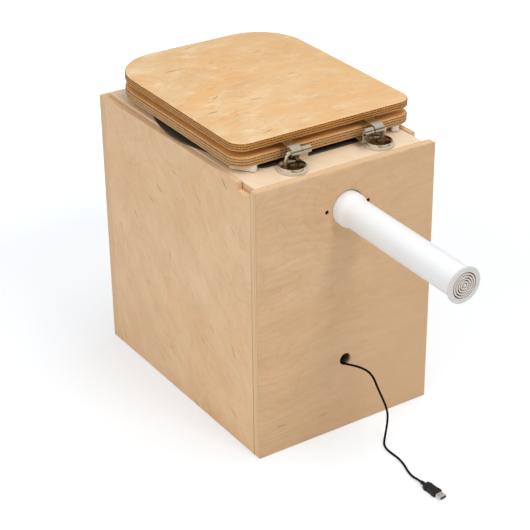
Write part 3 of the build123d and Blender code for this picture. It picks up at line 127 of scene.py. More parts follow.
for point, place in zip(lead_spline.points, lead_route):
    point.co = (*place, 1)
    point.radius = LEAD_DIAMETER / 2
lead_spline.order_u = 3
lead_spline.use_endpoint_u = True
fan_lead = bpy.data.objects.new("fan_lead", lead_curve)
bpy.context.collection.objects.link(fan_lead)
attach(fan_lead, "cabinet")
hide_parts("usb_cable")


# ---- node trees ----
class Signal:
    """One socket of a node tree, so that a pattern is written as arithmetic."""

    def __init__(self, network, socket):
        self.network = network
        self.socket = socket

    def do(self, operation, *others, clamp=False):
        return self.network.node(
            "ShaderNodeMath", {"operation": operation, "use_clamp": clamp},
            {place: value for place, value in enumerate((self, *others))},
        )

    def __add__(self, other):
        return self.do("ADD", other)

    def __sub__(self, other):
        return self.do("SUBTRACT", other)

    def __mul__(self, other):
        return self.do("MULTIPLY", other)

    def __truediv__(self, other):
        return self.do("DIVIDE", other)

    def __pow__(self, other):
        return self.do("POWER", other)

    def __mod__(self, other):
        return self.do("FLOORED_MODULO", other)

    def __lt__(self, other):
        return self.do("LESS_THAN", other)

    def __gt__(self, other):
        return self.do("GREATER_THAN", other)

    def __radd__(self, other):
        return self.do("ADD", other)

    def __rmul__(self, other):
        return self.do("MULTIPLY", other)

    def __rsub__(self, other):
        return self.network.number(other).do("SUBTRACT", self)

    def __rtruediv__(self, other):
        return self.network.number(other).do("DIVIDE", self)

    def size(self):
        """Its value without the sign."""
        return self.do("ABSOLUTE")

    def clipped(self):
        """Held between 0 and 1."""
        return self.do("ADD", 0.0, clamp=True)

    def smooth(self, low, high):
        """0 at low, 1 at high and a soft step between them."""
        return self.network.node(
            "ShaderNodeMapRange", {"interpolation_type": "SMOOTHSTEP"},
            {"Value": self, "From Min": low, "From Max": high},
        )

    def out(self, name):
        """Another output of the same node."""
        return Signal(self.network, self.socket.node.outputs[name])


class Network:
    """A node tree, and the ways in which nodes are added to it and joined."""

    def __init__(self, tree):
        self.tree = tree

    def plug(self, socket, value):
        """Links a signal to a socket, or sets a plain value on it."""
        if isinstance(value, Signal):
            self.tree.links.new(value.socket, socket)
        else:
            socket.default_value = value

    def node(self, kind, settings=None, sockets=None):
        """Adds a node: its settings first, then the values or links of its sockets.

        The setting named stops holds a colour ramp's places and colours.
        """
        made = self.tree.nodes.new(kind)
        for name, value in (settings or {}).items():
            if name == "stops":
                ramp = made.color_ramp
                while len(ramp.elements) < len(value):
                    ramp.elements.new(0.5)
                for element, (place, colour) in zip(ramp.elements, value):
                    element.position = place
                    element.color = (*colour, 1)
            else:
                setattr(made, name, value)
        for name, value in (sockets or {}).items():
            self.plug(made.inputs[name], value)
        return Signal(self, next(socket for socket in made.outputs if socket.enabled))

    def number(self, value):
        made = self.node("ShaderNodeValue")
        made.socket.default_value = value
        return made

    def place(self, kind="Object"):
        return self.node("ShaderNodeTexCoord").out(kind)

    def split(self, vector):
        parts = self.node("ShaderNodeSeparateXYZ", None, {"Vector": vector})
        return parts.out("X"), parts.out("Y"), parts.out("Z")

    def xyz(self, kind="Object"):
        return self.split(self.place(kind))

    def vector(self, x, y, z):
        return self.node("ShaderNodeCombineXYZ", None, {"X": x, "Y": y, "Z": z})

    def noise(self, vector, scale=1.0, detail=3.0, roughness=0.5, distortion=0.0):
        return self.node("ShaderNodeTexNoise", None, {
            "Vector": vector, "Scale": scale, "Detail": detail,
            "Roughness": roughness, "Distortion": distortion,
        })

    def mix(self, share, first, second):
        """Mixes two colours by a share from 0 to 1."""
        first, second = (
            colour if isinstance(colour, Signal) else (*colour, 1) for colour in (first, second)
        )
        return self.node("ShaderNodeMix", {"data_type": "RGBA"}, {0: share, 6: first, 7: second})

    def bump(self, height, strength, distance):
        return self.node("ShaderNodeBump", None, {
            "Height": height, "Strength": strength, "Distance": distance,
        })


class Finish(Network):
    """A material with one Principled shader and the nodes that feed it."""

    def __init__(self, name, colour=(0.5, 0.5, 0.5), roughness=0.5, metallic=0.0, **plain):
        self.material = bpy.data.materials.new(name)
        self.material.use_nodes = True
        super().__init__(self.material.node_tree)
        self.shader = self.tree.nodes["Principled BSDF"]
        self.set(Base_Color=(*colour, 1), Roughness=roughness, Metallic=metallic, **plain)

    def set(self, **sockets):
        """Sets or links the shader's sockets, with a low line for each space in a name."""
        for name, value in sockets.items():
            self.plug(self.shader.inputs[name.replace("_", " ")], value)


# ---- plywood ----
# A veneer's patterns: repeats a metre along and across the grain, step of the seed, detail,
# roughness and distortion
VENEER = {
    "slow": (4.0, 7.0, 0.0, 3.0, 0.55, 0.7),
    "cloud": (10.0, 16.0, 3.0, 4.0, 0.6, 0.0),
    "warp": (18.0, 38.0, 7.0, 2.0, 0.5, 0.0),
    "band": (7.0, 120.0, 5.0, 4.0, 0.75, 0.0),
    "fibre": (55.0, 900.0, 0.0, 2.0, 0.6, 0.0),
    "pores": (90.0, 700.0, 1.0, 1.0, 0.5, 0.0),
    "blush": (20.0, 34.0, 9.0, 4.0, 0.65, 0.0),
}
# Kinds of fleck: cells a metre, narrowness across and along the grain, share of the cells that
# hold one, depth of tone, and how far its colour leans to that of the lines
FLECKS = (
    (13.0, 75.0, 9.5, 0.22, 0.85, 0.0),
    (31.0, 60.0, 7.0, 0.28, 0.60, 0.5),
)
# Painted shade in the walls of drilled holes, darkest deepest in
HOLE_SHADE = (0.020, 0.009, 0.004)


def veneer_colour(finish, along, across, seed, faces, flecks, lines, swirls, flame):
    """The face of a rotary-cut birch sheet, from two places on it in metres, and its fibre.

    lines are its straight streaks, swirls the wandering edges of its growth rings, flame its
    warm and light patches, and flecks its short dark marks.
    """
    def pattern(name, shift=None):
        repeats_along, repeats_across, step, *texture = VENEER[name]
        sideways = across * repeats_across
        if shift is not None:
            sideways = sideways + shift
        return finish.noise(
            finish.vector(along * repeats_along, sideways, seed + step), 1.0, *texture
        )

    pale, deep, line, fleck = faces
    warm = tuple(c * share for c, share in zip(pale, (0.97, 0.80, 0.60)))
    light = tuple(min(1.0, c * share) for c, share in zip(pale, (1.05, 1.12, 1.26)))
    slow, cloud, warp = pattern("slow"), pattern("cloud"), pattern("warp")
    band = pattern("band", slow * 9.0)
    fibre, pores, blush = pattern("fibre"), pattern("pores"), pattern("blush")
    rings = (1.0 - (slow * 12.0 + warp * 0.45 + across * 6.0) % 1.0) ** 5.0

    # Patches of tone first, then the growth rings' edges, streaks, fibres and pores over them
    colour = finish.mix((cloud * 2.4 - 0.70).clipped(), pale, deep)
    colour = finish.mix(slow.smooth(0.45, 0.62) * 0.30 * flame, colour, warm)
    colour = finish.mix(blush.smooth(0.52, 0.70) * 0.50 * flame, colour, warm)
    colour = finish.mix(blush.smooth(0.52, 0.26) * 0.42 * flame, colour, light)
    colour = finish.mix(rings * (cloud - 0.2).clipped() * 0.9 * swirls, colour, line)
    colour = finish.mix((band - 0.40).clipped() * 1.1 * lines, colour, line)
    colour = finish.mix((fibre - 0.5).size() * (0.15 + 0.40 * lines), colour, line)
    colour = finish.mix(pores.smooth(0.62, 0.80) * 0.40, colour, line)

    # Each fleck is a slanting dash in a cell of its own, with a slant, size and tone of its own
    for cells_a_metre, narrow, long, chance, depth_of_tone, leaning in FLECKS:
        tone = tuple(dark + (brown - dark) * leaning for dark, brown in zip(fleck, line))
        spot = finish.vector(
            along * cells_a_metre + slow * 0.9, across * cells_a_metre * 1.3, seed + cells_a_metre
        )
        cells = finish.node(
            "ShaderNodeTexVoronoi", {"voronoi_dimensions": "2D", "feature": "F1"},
            {"Vector": spot, "Scale": 1.0, "Randomness": 1.0},
        )
        offset = finish.node(
            "ShaderNodeVectorMath", {"operation": "SUBTRACT"}, {0: spot, 1: cells.out("Position")}
        )
        ahead, aside, _ = finish.split(offset)
        pick = finish.node("ShaderNodeSeparateColor", None, {"Color": cells.out("Color")})
        slant = (pick.out("Green") * 7.0) % 1.0 * 1.3 - 0.55
        dash = (ahead * long) ** 2.0 + ((aside - ahead * slant) * narrow) ** 2.0
        few = pick.out("Red") > (1.0 - chance * flecks)
        faint = 0.35 + pick.out("Green") * 0.65
        size = 0.5 + pick.out("Blue") * 1.6
        mark = 1.0 - (dash / size).smooth(0.3, 1.2)
        colour = finish.mix(mark * few * faint * depth_of_tone, colour, tone)
    return colour, fibre


def plywood(name, depth, along, across, thickness, plies, seed, faces, edges, roughness,
            lines=1.0, swirls=0.6, flecks=1.0, flame=1.0, chatter=0.0, coat=0.0, marks=(),
            drilled=(), painted_shade=None, parted=None, **plain):
    """Plywood seen on its face and on its edge: depth, along and across are made from x, y, z.

    marks are darker lines at their own depths: glue lines, and a line of painted shade at an
    arris; drilled are holes (x, z, radius, share) whose walls darken inwards as painted shade;
    toned says where the sheet is painted darker, as painted shade of light that falls off
    across it; parted paints shade in a fine dark line where it meets another piece.
    """
    finish = Finish(name, roughness=roughness, **plain)
    x, y, z = finish.xyz()
    down = depth(x, y, z)
    run = along(x, y, z)
    side = across(x, y, z)
    face, fibre = veneer_colour(finish, run, side, seed, faces, flecks, lines, swirls, flame)
    # Painted shade: the face drawn towards its deep tone where the caller asks
    if painted_shade is not None:
        face = finish.mix(painted_shade(x, y, z).clipped(), face, faces[1])

    # The edge: long grain and end grain by turns, and a glue line between each two plies
    light, dark, glue = edges
    ply = thickness / plies
    wander = finish.noise(finish.vector(x * 30.0, y * 30.0, z * 30.0), 1.0, 2.0) * (ply * 0.30)
    level = (down + wander - ply * 0.15) / ply
    odd = 1.0 - ((level % 2.0) - 1.0).size().smooth(0.42, 0.58)
    within = level % 1.0
    joint = 1.0 - (within.do("MINIMUM", 1.0 - within)).smooth(0.04, 0.22)
    streak = finish.noise(finish.vector(x * 160.0, y * 160.0, z * 1800.0), 1.0, 3.0, 0.65)
    ripple = finish.noise(finish.vector(x * 210.0, y * 210.0, z * 210.0), 1.0, 2.0, 0.6)
    beads = ((x - y) * 1150.0 + level * 3.1 + ripple * 14.0).do("SINE") * 0.5 + 0.5
    grain = finish.mix(streak, light, tuple(0.78 * c for c in light))
    cross = (beads ** 3.0) * chatter + (streak - 0.35) * 0.5
    edge = finish.mix(odd, grain, finish.mix(cross.clipped(), dark, light))
    edge = finish.mix(joint * (0.25 + streak * 0.7), edge, glue)
    # Each mark is a glue line, or a line of painted shade along an arris
    for place, weight in marks:
        seam = (down - place + wander).size().smooth(0.0008, 0.0002)
        edge = finish.mix(seam * weight, edge, glue)

    # The edge shows wherever the surface lies deeper than the outer plies
    skin = (down.do("MINIMUM", thickness - down)).smooth(ply * 0.55, ply * 0.80)
    colour = finish.mix(skin, face, edge)
    # Painted shade in a fine dark line where the sheet meets another piece
    if parted is not None:
        colour = finish.mix(parted(x, y, z), colour, faces[3])
    # Painted shade in the holes' walls, darker the deeper in
    for centre_x, centre_z, radius, share in drilled:
        reach = ((x - centre_x) ** 2.0 + (z - centre_z) ** 2.0) ** 0.5
        wall = reach.smooth(radius + 0.0004, radius + 0.0002)
        hole_shade = (down - 0.0004).smooth(0.0, 0.6 * radius) * share * wall
        colour = finish.mix(hole_shade, colour, HOLE_SHADE)
    finish.set(
        Base_Color=colour, Roughness=roughness + fibre * 0.12 - 0.06 + skin * 0.12,
        Normal=finish.bump(fibre * 0.4 + skin * (streak * 0.8 - joint * 0.8), 0.22, 0.0004),
        Coat_Weight=coat * (1.0 - skin), Coat_Roughness=0.25,
    )
    return finish.material


def along_x(x, y, z):
    return x


def along_y(x, y, z):
    return y


def along_z(x, y, z):
    return z


def slanted(x, y, z):
    """The side panels' grain, which runs down towards the back."""
    return y * 0.68 - z * 0.73


def across_slanted(x, y, z):
    return y * 0.73 + z * 0.68


def board_depth(top):
    """Depth below a height over the board, square to the board."""
    return lambda x, y, z: (top + BOARD_TOP * math.cos(BOARD_TILT)) - (
        z * math.cos(BOARD_TILT) + y * math.sin(BOARD_TILT)
    )


def panel_joint_shade(x, y, z):
    """Fine dark lines of painted shade where a side panel meets front and back, open lower down."""
    back = y.smooth(0.2184, 0.2190) * (0.95 - z * 1.7).clipped()
    front = y.smooth(-0.2188, -0.2193) * 0.30
    return back + front


# Faces: pale and deep tone, lines and flecks. Edges: long grain, end grain and glue
PANEL_FACES = (
    (0.805, 0.560, 0.340), (0.715, 0.465, 0.260), (0.560, 0.340, 0.170), (0.200, 0.095, 0.040),
)
# The back panel's faces: the panels' colours painted darker, as painted shade on the back panel
BACK_SHADED_FACES = (
    (0.745, 0.500, 0.295), (0.620, 0.400, 0.220), (0.500, 0.290, 0.140), (0.200, 0.090, 0.035),
)
BOARD_FACES = (
    (0.865, 0.720, 0.555), (0.820, 0.642, 0.455), (0.700, 0.480, 0.290), (0.420, 0.240, 0.110),
)
LID_FACES = (
    (0.815, 0.580, 0.328), (0.700, 0.438, 0.200), (0.550, 0.270, 0.090), (0.090, 0.030, 0.009),
)
# The seat ring's faces, painted deeper and more orange than the lid's: painted shade and painted
# warm bounce light under the lid
RING_SHADED_FACES = (
    (0.800, 0.470, 0.185), (0.700, 0.370, 0.120), (0.520, 0.240, 0.070), (0.200, 0.075, 0.020),
)
PANEL_EDGES = ((0.875, 0.615, 0.370), (0.79, 0.525, 0.30), (0.42, 0.24, 0.115))
BOARD_EDGES = ((0.880, 0.630, 0.400), (0.78, 0.510, 0.29), (0.52, 0.30, 0.15))
LID_EDGES = ((0.66, 0.31, 0.070), (0.075, 0.017, 0.001), (0.085, 0.019, 0.001))
SEAT_EDGES = ((0.71, 0.42, 0.175), (0.105, 0.037, 0.009), (0.120, 0.040, 0.009))

# Dark lines that show on the thick panels' edges: depth and weight; the first two are glue
# lines, the last painted shade along the inner arris, where other pieces meet the panel. Holes
# drilled through the back panel, the two for fixing and the lead's: x, z, radius and the share
# of painted shade darkening their walls
PANEL_MARKS = ((0.0024, 0.75), (0.0071, 0.60), (0.0149, 0.5))
DRILLED = (
    (0.0387, 0.393, 0.0034, 0.95), (-0.0375, 0.393, 0.0034, 0.95), (0.0006, 0.126, 0.0105, 0.80),
)
# What both side panels share, and what the oiled seat and lid share
SIDE_LOOK = {
    "thickness": THIN_PLY, "plies": 7, "faces": PANEL_FACES, "edges": PANEL_EDGES,
    "roughness": 0.55, "lines": 0.10, "swirls": 0.9, "flecks": 2.8, "flame": 0.8,
    "parted": panel_joint_shade,
}
OILED_LOOK = {
    "plies": 7, "roughness": 0.38, "chatter": 0.75, "coat": 0.25, "Specular_IOR_Level": 0.25,
}

panel_front = plywood(
    "panel_front_plywood", lambda x, y, z: y + HALF_DEPTH, along_x, along_z,
    thickness=THICK_PLY, plies=11, seed=1.0, faces=PANEL_FACES, edges=PANEL_EDGES,
    roughness=0.55, swirls=1.1, flecks=1.4, flame=0.6, marks=PANEL_MARKS,
)
panel_back = plywood(
    "panel_back_plywood", lambda x, y, z: HALF_DEPTH - y, along_x, along_z,
    thickness=THICK_PLY, plies=11, seed=5.0, faces=BACK_SHADED_FACES, edges=PANEL_EDGES,
    roughness=0.55, lines=1.3, swirls=1.1, flecks=1.2, flame=0.6, marks=PANEL_MARKS,
    drilled=DRILLED,
    # Painted shade: the back panel painted darker towards -x and towards the bottom, where less
    # light falls
    painted_shade=lambda x, y, z: (0.10 - x) * 1.9 + (0.40 - z) * 0.9,
    # Painted shade along the top's inner arris, where the board meets the back panel
    parted=lambda x, y, z: z.smooth(0.4558, 0.4561) * y.smooth(0.2211, 0.2207) * 0.45,
)
panel_left = plywood(
    "panel_left_plywood", lambda x, y, z: HALF_WIDTH - x, slanted, across_slanted,
    seed=9.0, **SIDE_LOOK,
)
panel_right = plywood(
    "panel_right_plywood", lambda x, y, z: x + HALF_WIDTH, slanted, across_slanted,
    seed=13.0, **SIDE_LOOK,
)
panel_base = plywood(
    "panel_base_plywood", along_z, along_y, along_x,
    thickness=THIN_PLY, plies=7, seed=17.0, faces=PANEL_FACES, edges=PANEL_EDGES, roughness=0.6,
)
board_wood = plywood(
    "board_plywood", board_depth(0.0), along_y, along_x,
    thickness=THICK_PLY, plies=7, seed=21.0, faces=BOARD_FACES, edges=BOARD_EDGES,
    roughness=0.5, flecks=0.0, flame=0.4,
)
seat_wood = plywood(
    "seat_plywood", board_depth(SEAT_TOP), along_x, along_y,
    thickness=THICK_PLY, seed=25.0, faces=RING_SHADED_FACES, edges=SEAT_EDGES, **OILED_LOOK,
)
lid_wood = plywood(
    "lid_plywood", board_depth(LID_TOP), along_x, along_y,
    thickness=LID_PLY, seed=29.0, faces=LID_FACES, edges=LID_EDGES,
    # Painted shade: the lid painted darker towards -x, where less light falls
    lines=0.2, swirls=0.9, flecks=3.2, flame=2.3, painted_shade=lambda x, y, z: (0.10 - x) * 1.9,
    **OILED_LOOK,
)


# ---- other materials ----
# Reach from a dish's middle within which its hollow is fully painted dark, and beyond which not at
# all
HOLLOW_RADIUS = (0.0176, 0.0192)
SLOTTED_RADIUS = (0.0208, 0.0216)
SLOT_SHADE_DEPTH = (0.0004, 0.0014)


def softwood(name, along, seed):
    """Planed softwood battens: straight dark growth lines along x, y or z, named 0, 1 or 2."""
    finish = Finish(name, roughness=0.6)
    x, y, z = finish.xyz()
    run = (x, y, z)[along]
    sides = [value for place, value in enumerate((x, y, z)) if place != along]
    wobble = finish.noise(finish.vector(run * 6.0, sides[0] * 30.0, sides[1] * 30.0 + seed))
    rings = ((sides[0] * 900.0 + sides[1] * 500.0 + wobble * 9.0).do("SINE") * 0.5 + 0.5) ** 2.0
    fibre = finish.noise(finish.vector(run * 60.0, sides[0] * 900.0, sides[1] * 900.0))
    colour = finish.mix(rings * 0.6, (0.78, 0.56, 0.33), (0.60, 0.36, 0.17))
    colour = finish.mix((fibre - 0.4).clipped() * 0.6, colour, (0.50, 0.30, 0.14))
    finish.set(
        Base_Color=colour, Roughness=0.55 + fibre * 0.15,
        Normal=finish.bump(fibre + rings * 0.3, 0.2, 0.0003),
    )
    return finish.material


def moulded(name, colour, roughness, grain=0.0, mottle=0.06, **plain):
    """Moulded plastic or rubber: a fine skin texture and a faint drift of tone."""
    finish = Finish(name, colour, roughness, **plain)
    spot = finish.place()
    skin = finish.noise(spot, 2600.0, 2.0, 0.5)
    drift = finish.noise(spot, 14.0, 3.0, 0.55)
    darker = tuple(c * (1 - 2.2 * mottle) for c in colour)
    finish.set(
        Base_Color=finish.mix((drift * 1.6 - 0.3).clipped(), darker, colour),
        Roughness=roughness + skin * 0.10 - 0.05 + drift * 0.06,
        Normal=finish.bump(skin, grain, 0.0002),
    )
    return finish.material


def slotted(name, colour, inside, roughness):
    """The grille's plastic: its face one colour, its slots painted warmer and darker inwards as
    shade.
    """
    finish = Finish(name, colour, roughness)
    x, y, z = finish.xyz()
    along = (y - PIPE_START.y) * math.cos(PIPE_FALL) - (z - PIPE_START.z) * math.sin(PIPE_FALL)
    inwards = (GRILLE_FACE - along).smooth(*SLOT_SHADE_DEPTH)
    inner, outer = SLOTTED_RADIUS
    rim = (x ** 2.0 + (z - GRILLE_HEIGHT) ** 2.0).smooth(outer ** 2, inner ** 2)
    skin = finish.noise(finish.place(), 2600.0, 2.0, 0.5)
    drift = finish.noise(finish.place(), 30.0, 3.0, 0.55)
    plain = finish.mix((drift * 1.6 - 0.3).clipped(), tuple(0.95 * c for c in colour), colour)
    # The slot walls take the inside colour: painted shade and a painted warm reflection
    finish.set(
        Base_Color=finish.mix(inwards * rim, plain, inside),
        Roughness=roughness + skin * 0.10 - 0.05,
        Normal=finish.bump(skin, 0.05, 0.0002),
    )
    return finish.material


def plated(name, colour, roughness, scratches=0.10, brushed=0.0):
    """Plated metal: fine handling scratches and a slow change of gloss."""
    finish = Finish(name, colour, roughness, metallic=1.0)
    x, y, z = finish.xyz()
    rub = finish.noise(finish.vector(x * 900.0, y * 300.0, z * 900.0), 1.0, 3.0, 0.7)
    haze = finish.noise(finish.place(), 60.0, 3.0, 0.6)
    dull = tuple(c * 0.70 for c in colour)
    finish.set(
        Base_Color=finish.mix((haze - 0.35).clipped() * 0.8, colour, dull),
        Roughness=roughness + rub.smooth(0.45, 0.75) * scratches + haze * brushed,
        Normal=finish.bump(haze, 0.03 + brushed * 0.3, 0.0004),
    )
    return finish.material


def dished(name, node, rim, hollow, roughness):
    """A plated dish: a bright rim round a hollow painted brown, as painted shade and reflection."""
    finish = Finish(name, rim, roughness, metallic=1.0)
    low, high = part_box(node)
    x, y, z = finish.xyz()
    reach = ((x - (low[0] + high[0]) / 2) ** 2.0 + (y - (low[1] + high[1]) / 2) ** 2.0) ** 0.5
    haze = finish.noise(finish.place(), 90.0, 3.0, 0.6)
    full, none = HOLLOW_RADIUS
    finish.set(
        Base_Color=finish.mix((reach + haze * 0.0008).smooth(none, full), rim, hollow),
        Roughness=roughness + haze.smooth(0.45, 0.75) * 0.08,
        Normal=finish.bump(haze, 0.03, 0.0004),
    )
    return finish.material


batten_wood = softwood("batten_softwood", 2, 1.0)
rail_wood = softwood("rail_softwood", 0, 4.0)
cleat_wood = softwood("cleat_softwood", 1, 8.0)
insert_plastic = moulded("insert_dark_plastic", (0.060, 0.053, 0.040), 0.55, 0.25,
                         Specular_IOR_Level=0.25)
bucket_plastic = moulded("bucket_grey_plastic", (0.16, 0.17, 0.18), 0.38, 0.10)
canister_plastic = moulded("canister_natural_plastic", (0.74, 0.75, 0.72), 0.42, 0.08, 0.03)
collar_plastic = moulded("collar_black_plastic", (0.03, 0.03, 0.032), 0.42, 0.10)
pipe_plastic = moulded("pipe_white_plastic", (0.842, 0.855, 0.862), 0.34, 0.02, 0.01)
# The slots' warm inside colour is painted shade and a painted warm reflection
grille_plastic = slotted("grille_grey_plastic", (0.68, 0.68, 0.665), (0.90, 0.66, 0.48), 0.42)
fan_plastic = moulded("fan_black_plastic", (0.018, 0.018, 0.02), 0.40, 0.12)
washer_plastic = moulded("washer_milky_plastic", (0.73, 0.64, 0.50), 0.34, 0.02, 0.03,
                         Transmission_Weight=0.15)
buffer_rubber = moulded("buffer_cream_rubber", (0.80, 0.75, 0.66), 0.45, 0.08, 0.04)
lead_sheath = moulded("lead_black_sheath", (0.005, 0.0035, 0.0025), 0.50, 0.10,
                      Specular_IOR_Level=0.08)
plug_plastic = moulded("plug_black_plastic", (0.010, 0.009, 0.009), 0.40, 0.20,
                       Specular_IOR_Level=0.30)
tongue_plastic = moulded("plug_tongue_black", (0.02, 0.02, 0.02), 0.45, 0.05)
hinge_chrome = plated("hinge_polished_chrome", (0.84, 0.81, 0.75), 0.20, 0.06)
# Chrome painted dark brown for the parts in the dishes' hollows: painted shade and a painted
# reflection of the seat's underside
hollow_shaded_chrome = plated("hinge_hollow_chrome", (0.30, 0.225, 0.135), 0.16, 0.10)
hinge_satin = plated("hinge_satin_nickel", (0.60, 0.55, 0.45), 0.22, 0.04)
screw_steel = plated("screw_zinc", (0.62, 0.61, 0.58), 0.24, 0.18, 0.1)
shell_metal = plated("plug_bright_metal", (0.72, 0.71, 0.69), 0.18, 0.15, 0.1)

finishes = {
    "front_panel": panel_front, "back_panel": panel_back,
    "side_panel_left": panel_left, "side_panel_right": panel_right, "base_panel": panel_base,
    "corner_battens": batten_wood, "front_rail": rail_wood, "back_rail": rail_wood,
    "seat_board": board_wood, "seat_ring": seat_wood, "lid": lid_wood,
    "diverter_flange": insert_plastic, "urine_bowl": insert_plastic, "drain_spout": insert_plastic,
    "solids_chute": insert_plastic, "solids_bucket": bucket_plastic,
    "urine_canister": canister_plastic, "canister_shoulder": canister_plastic,
    "canister_collar": collar_plastic,
    "vent_pipe": pipe_plastic, "end_grille": grille_plastic,
    "fan_housing": fan_plastic, "fan_frame": fan_plastic, "fan_rotor": fan_plastic,
    "hinge_washers": washer_plastic, "seat_buffers": buffer_rubber, "lid_bumpers": buffer_rubber,
    "usb_plug_body": plug_plastic, "usb_plug_shell": shell_metal, "usb_plug_tongue": tongue_plastic,
    "hinge_bolts": hollow_shaded_chrome,
}
for side in ("left", "right"):
    finishes[f"side_cleat_{side}"] = cleat_wood
    finishes[f"hinge_rod_{side}"] = hinge_chrome
    finishes[f"hinge_plate_{side}"] = hollow_shaded_chrome
    finishes[f"seat_strap_{side}"] = hinge_satin
    finishes[f"lid_strap_{side}"] = hinge_satin
    # Each dish's hollow is painted dark brown: painted shade and a painted reflection of the seat's
    # underside
    finishes[f"hinge_dish_{side}"] = dished(
        f"hinge_dish_chrome_{side}", f"hinge_dish_{side}",
        (0.84, 0.81, 0.75), (0.34, 0.26, 0.16), 0.12,
    )
for name in ("cleat_screws", "fan_screws", "insert_screws", "hinge_nuts",
             "seat_strap_screws", "lid_strap_screws"):
    finishes[name] = screw_steel
for name, finish in finishes.items():
    nodes[name].data.materials.clear()
    nodes[name].data.materials.append(finish)
lead_curve.materials.append(lead_sheath)


# ---- drive recesses of the screws, as dark marks of painted shade ----
# How near its neighbours a screw's points lie, square to its axis; how level the face of its
# head is; and how far a recess starts below that face
SAME_SCREW = 0.0075
SAME_FACE = 0.00005
RECESS_SINK = 0.00036


def drive_recess_tree():
    """A small dark four-pointed mark of painted shade on every point, turned to the point's own
    axis.
    """
    tree = bpy.data.node_groups.new("drive_recess", "GeometryNodeTree")
    face = tree.interface
    face.new_socket("Heads", in_out="INPUT", socket_type="NodeSocketGeometry")
    for name in ("Reach", "Waist", "Depth"):
        face.new_socket(name, in_out="INPUT", socket_type="NodeSocketFloat")
    face.new_socket("Seed", in_out="INPUT", socket_type="NodeSocketInt")
    face.new_socket("Finish", in_out="INPUT", socket_type="NodeSocketMaterial")
    face.new_socket("Recesses", in_out="OUTPUT", socket_type="NodeSocketGeometry")

    recess = Network(tree)
    given = recess.node("NodeGroupInput")
    star = recess.node("GeometryNodeCurveStar", None, {
        "Points": 4, "Inner Radius": given.out("Waist"), "Outer Radius": given.out("Reach"),
    })
    flat = recess.node("GeometryNodeFillCurve", None, {"Curve": star})
    thick = recess.node("GeometryNodeExtrudeMesh", None, {
        "Mesh": flat, "Offset Scale": given.out("Depth"), "Individual": False,
    })
    axis = recess.node(
        "GeometryNodeInputNamedAttribute", {"data_type": "FLOAT_VECTOR"}, {"Name": "axis"}
    )
    turn = recess.node(
        "FunctionNodeRandomValue", {"data_type": "FLOAT"}, {"Seed": given.out("Seed")}
    )
    spun = recess.node(
        "FunctionNodeAxisAngleToRotation", None, {"Axis": (0, 0, 1), "Angle": turn}
    )
    aimed = recess.node(
        "FunctionNodeAlignRotationToVector", {"axis": "Z"}, {"Rotation": spun, "Vector": axis}
    )
    placed = recess.node("GeometryNodeInstanceOnPoints", None, {
        "Points": given.out("Heads"), "Instance": thick, "Rotation": aimed,
    })
    whole = recess.node("GeometryNodeRealizeInstances", None, {"Geometry": placed})
    dressed = recess.node("GeometryNodeSetMaterial", None, {
        "Geometry": whole, "Material": given.out("Finish"),
    })
    recess.plug(tree.nodes.new("NodeGroupOutput").inputs["Recesses"], dressed)
    return tree


def screw_heads(node, axis, side=0):
    """The middles of a node's screw heads that face along an axis, on one side of x if given."""
    stacks = []
    for vertex in nodes[node].data.vertices:
        if vertex.co.x * side < 0:
            continue
        flat = vertex.co - axis * vertex.co.dot(axis)
        for first, places in stacks:
            if (first - flat).length < SAME_SCREW:
                places.append(vertex.co.copy())
                break
        else:
            stacks.append((flat, [vertex.co.copy()]))
    heads = []
    for first, places in stacks:
        top = max(place.dot(axis) for place in places)
        face = [place for place in places if place.dot(axis) > top - SAME_FACE]
        heads.append(sum(face, Vector()) / len(face))
    return heads


recess_tree = drive_recess_tree()
# Painted shade: the dark finish of the marks that stand for the drive recesses
recess_shade = moulded("screw_recess_shadow", (0.05, 0.048, 0.045), 0.55, 0.1,
                      Specular_IOR_Level=0.2)
RECESS_INPUTS = {
    "Reach": 0.0016, "Waist": 0.00055, "Depth": 0.0004, "Seed": 3, "Finish": recess_shade,
}


def drive_recesses(name, body, rows):
    """Recesses for one body's screws; each row is a node, the way its heads face, and a side."""
    points, axes = [], []
    for node, axis, *side in rows:
        axis = Vector(axis).normalized()
        for head in screw_heads(node, axis, *side):
            points.append(head - axis * RECESS_SINK)
            axes.extend(axis)
    mesh = bpy.data.meshes.new(name)
    mesh.from_pydata(points, [], [])
    mesh.attributes.new("axis", "FLOAT_VECTOR", "POINT").data.foreach_set("vector", axes)
    piece = bpy.data.objects.new(name, mesh)
    bpy.context.collection.objects.link(piece)
    maker = piece.modifiers.new("recesses", "NODES")
    maker.node_group = recess_tree
    for socket in recess_tree.interface.items_tree:
        if socket.name in RECESS_INPUTS:
            maker[socket.identifier] = RECESS_INPUTS[socket.name]
    made = piece.evaluated_get(bpy.context.evaluated_depsgraph_get())
    result = bpy.data.meshes.new_from_object(made)
    piece.modifiers.clear()
    piece.data = result
    if "axis" in result.attributes:
        result.attributes.remove(result.attributes["axis"])
    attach(piece, body)


board_up = Vector((0, math.sin(BOARD_TILT), math.cos(BOARD_TILT)))
drive_recesses("screw_recesses_seat_board", "seat_board", [("insert_screws", board_up)])
drive_recesses("screw_recesses_seat", "seat", [("seat_strap_screws", -board_up)])
drive_recesses("screw_recesses_lid", "lid", [("lid_strap_screws", -board_up)])
drive_recesses("screw_recesses_cabinet", "cabinet", [
    ("fan_screws", (0, -1, 0)), ("cleat_screws", (1, 0, 0), -1), ("cleat_screws", (-1, 0, 0), 1),
])


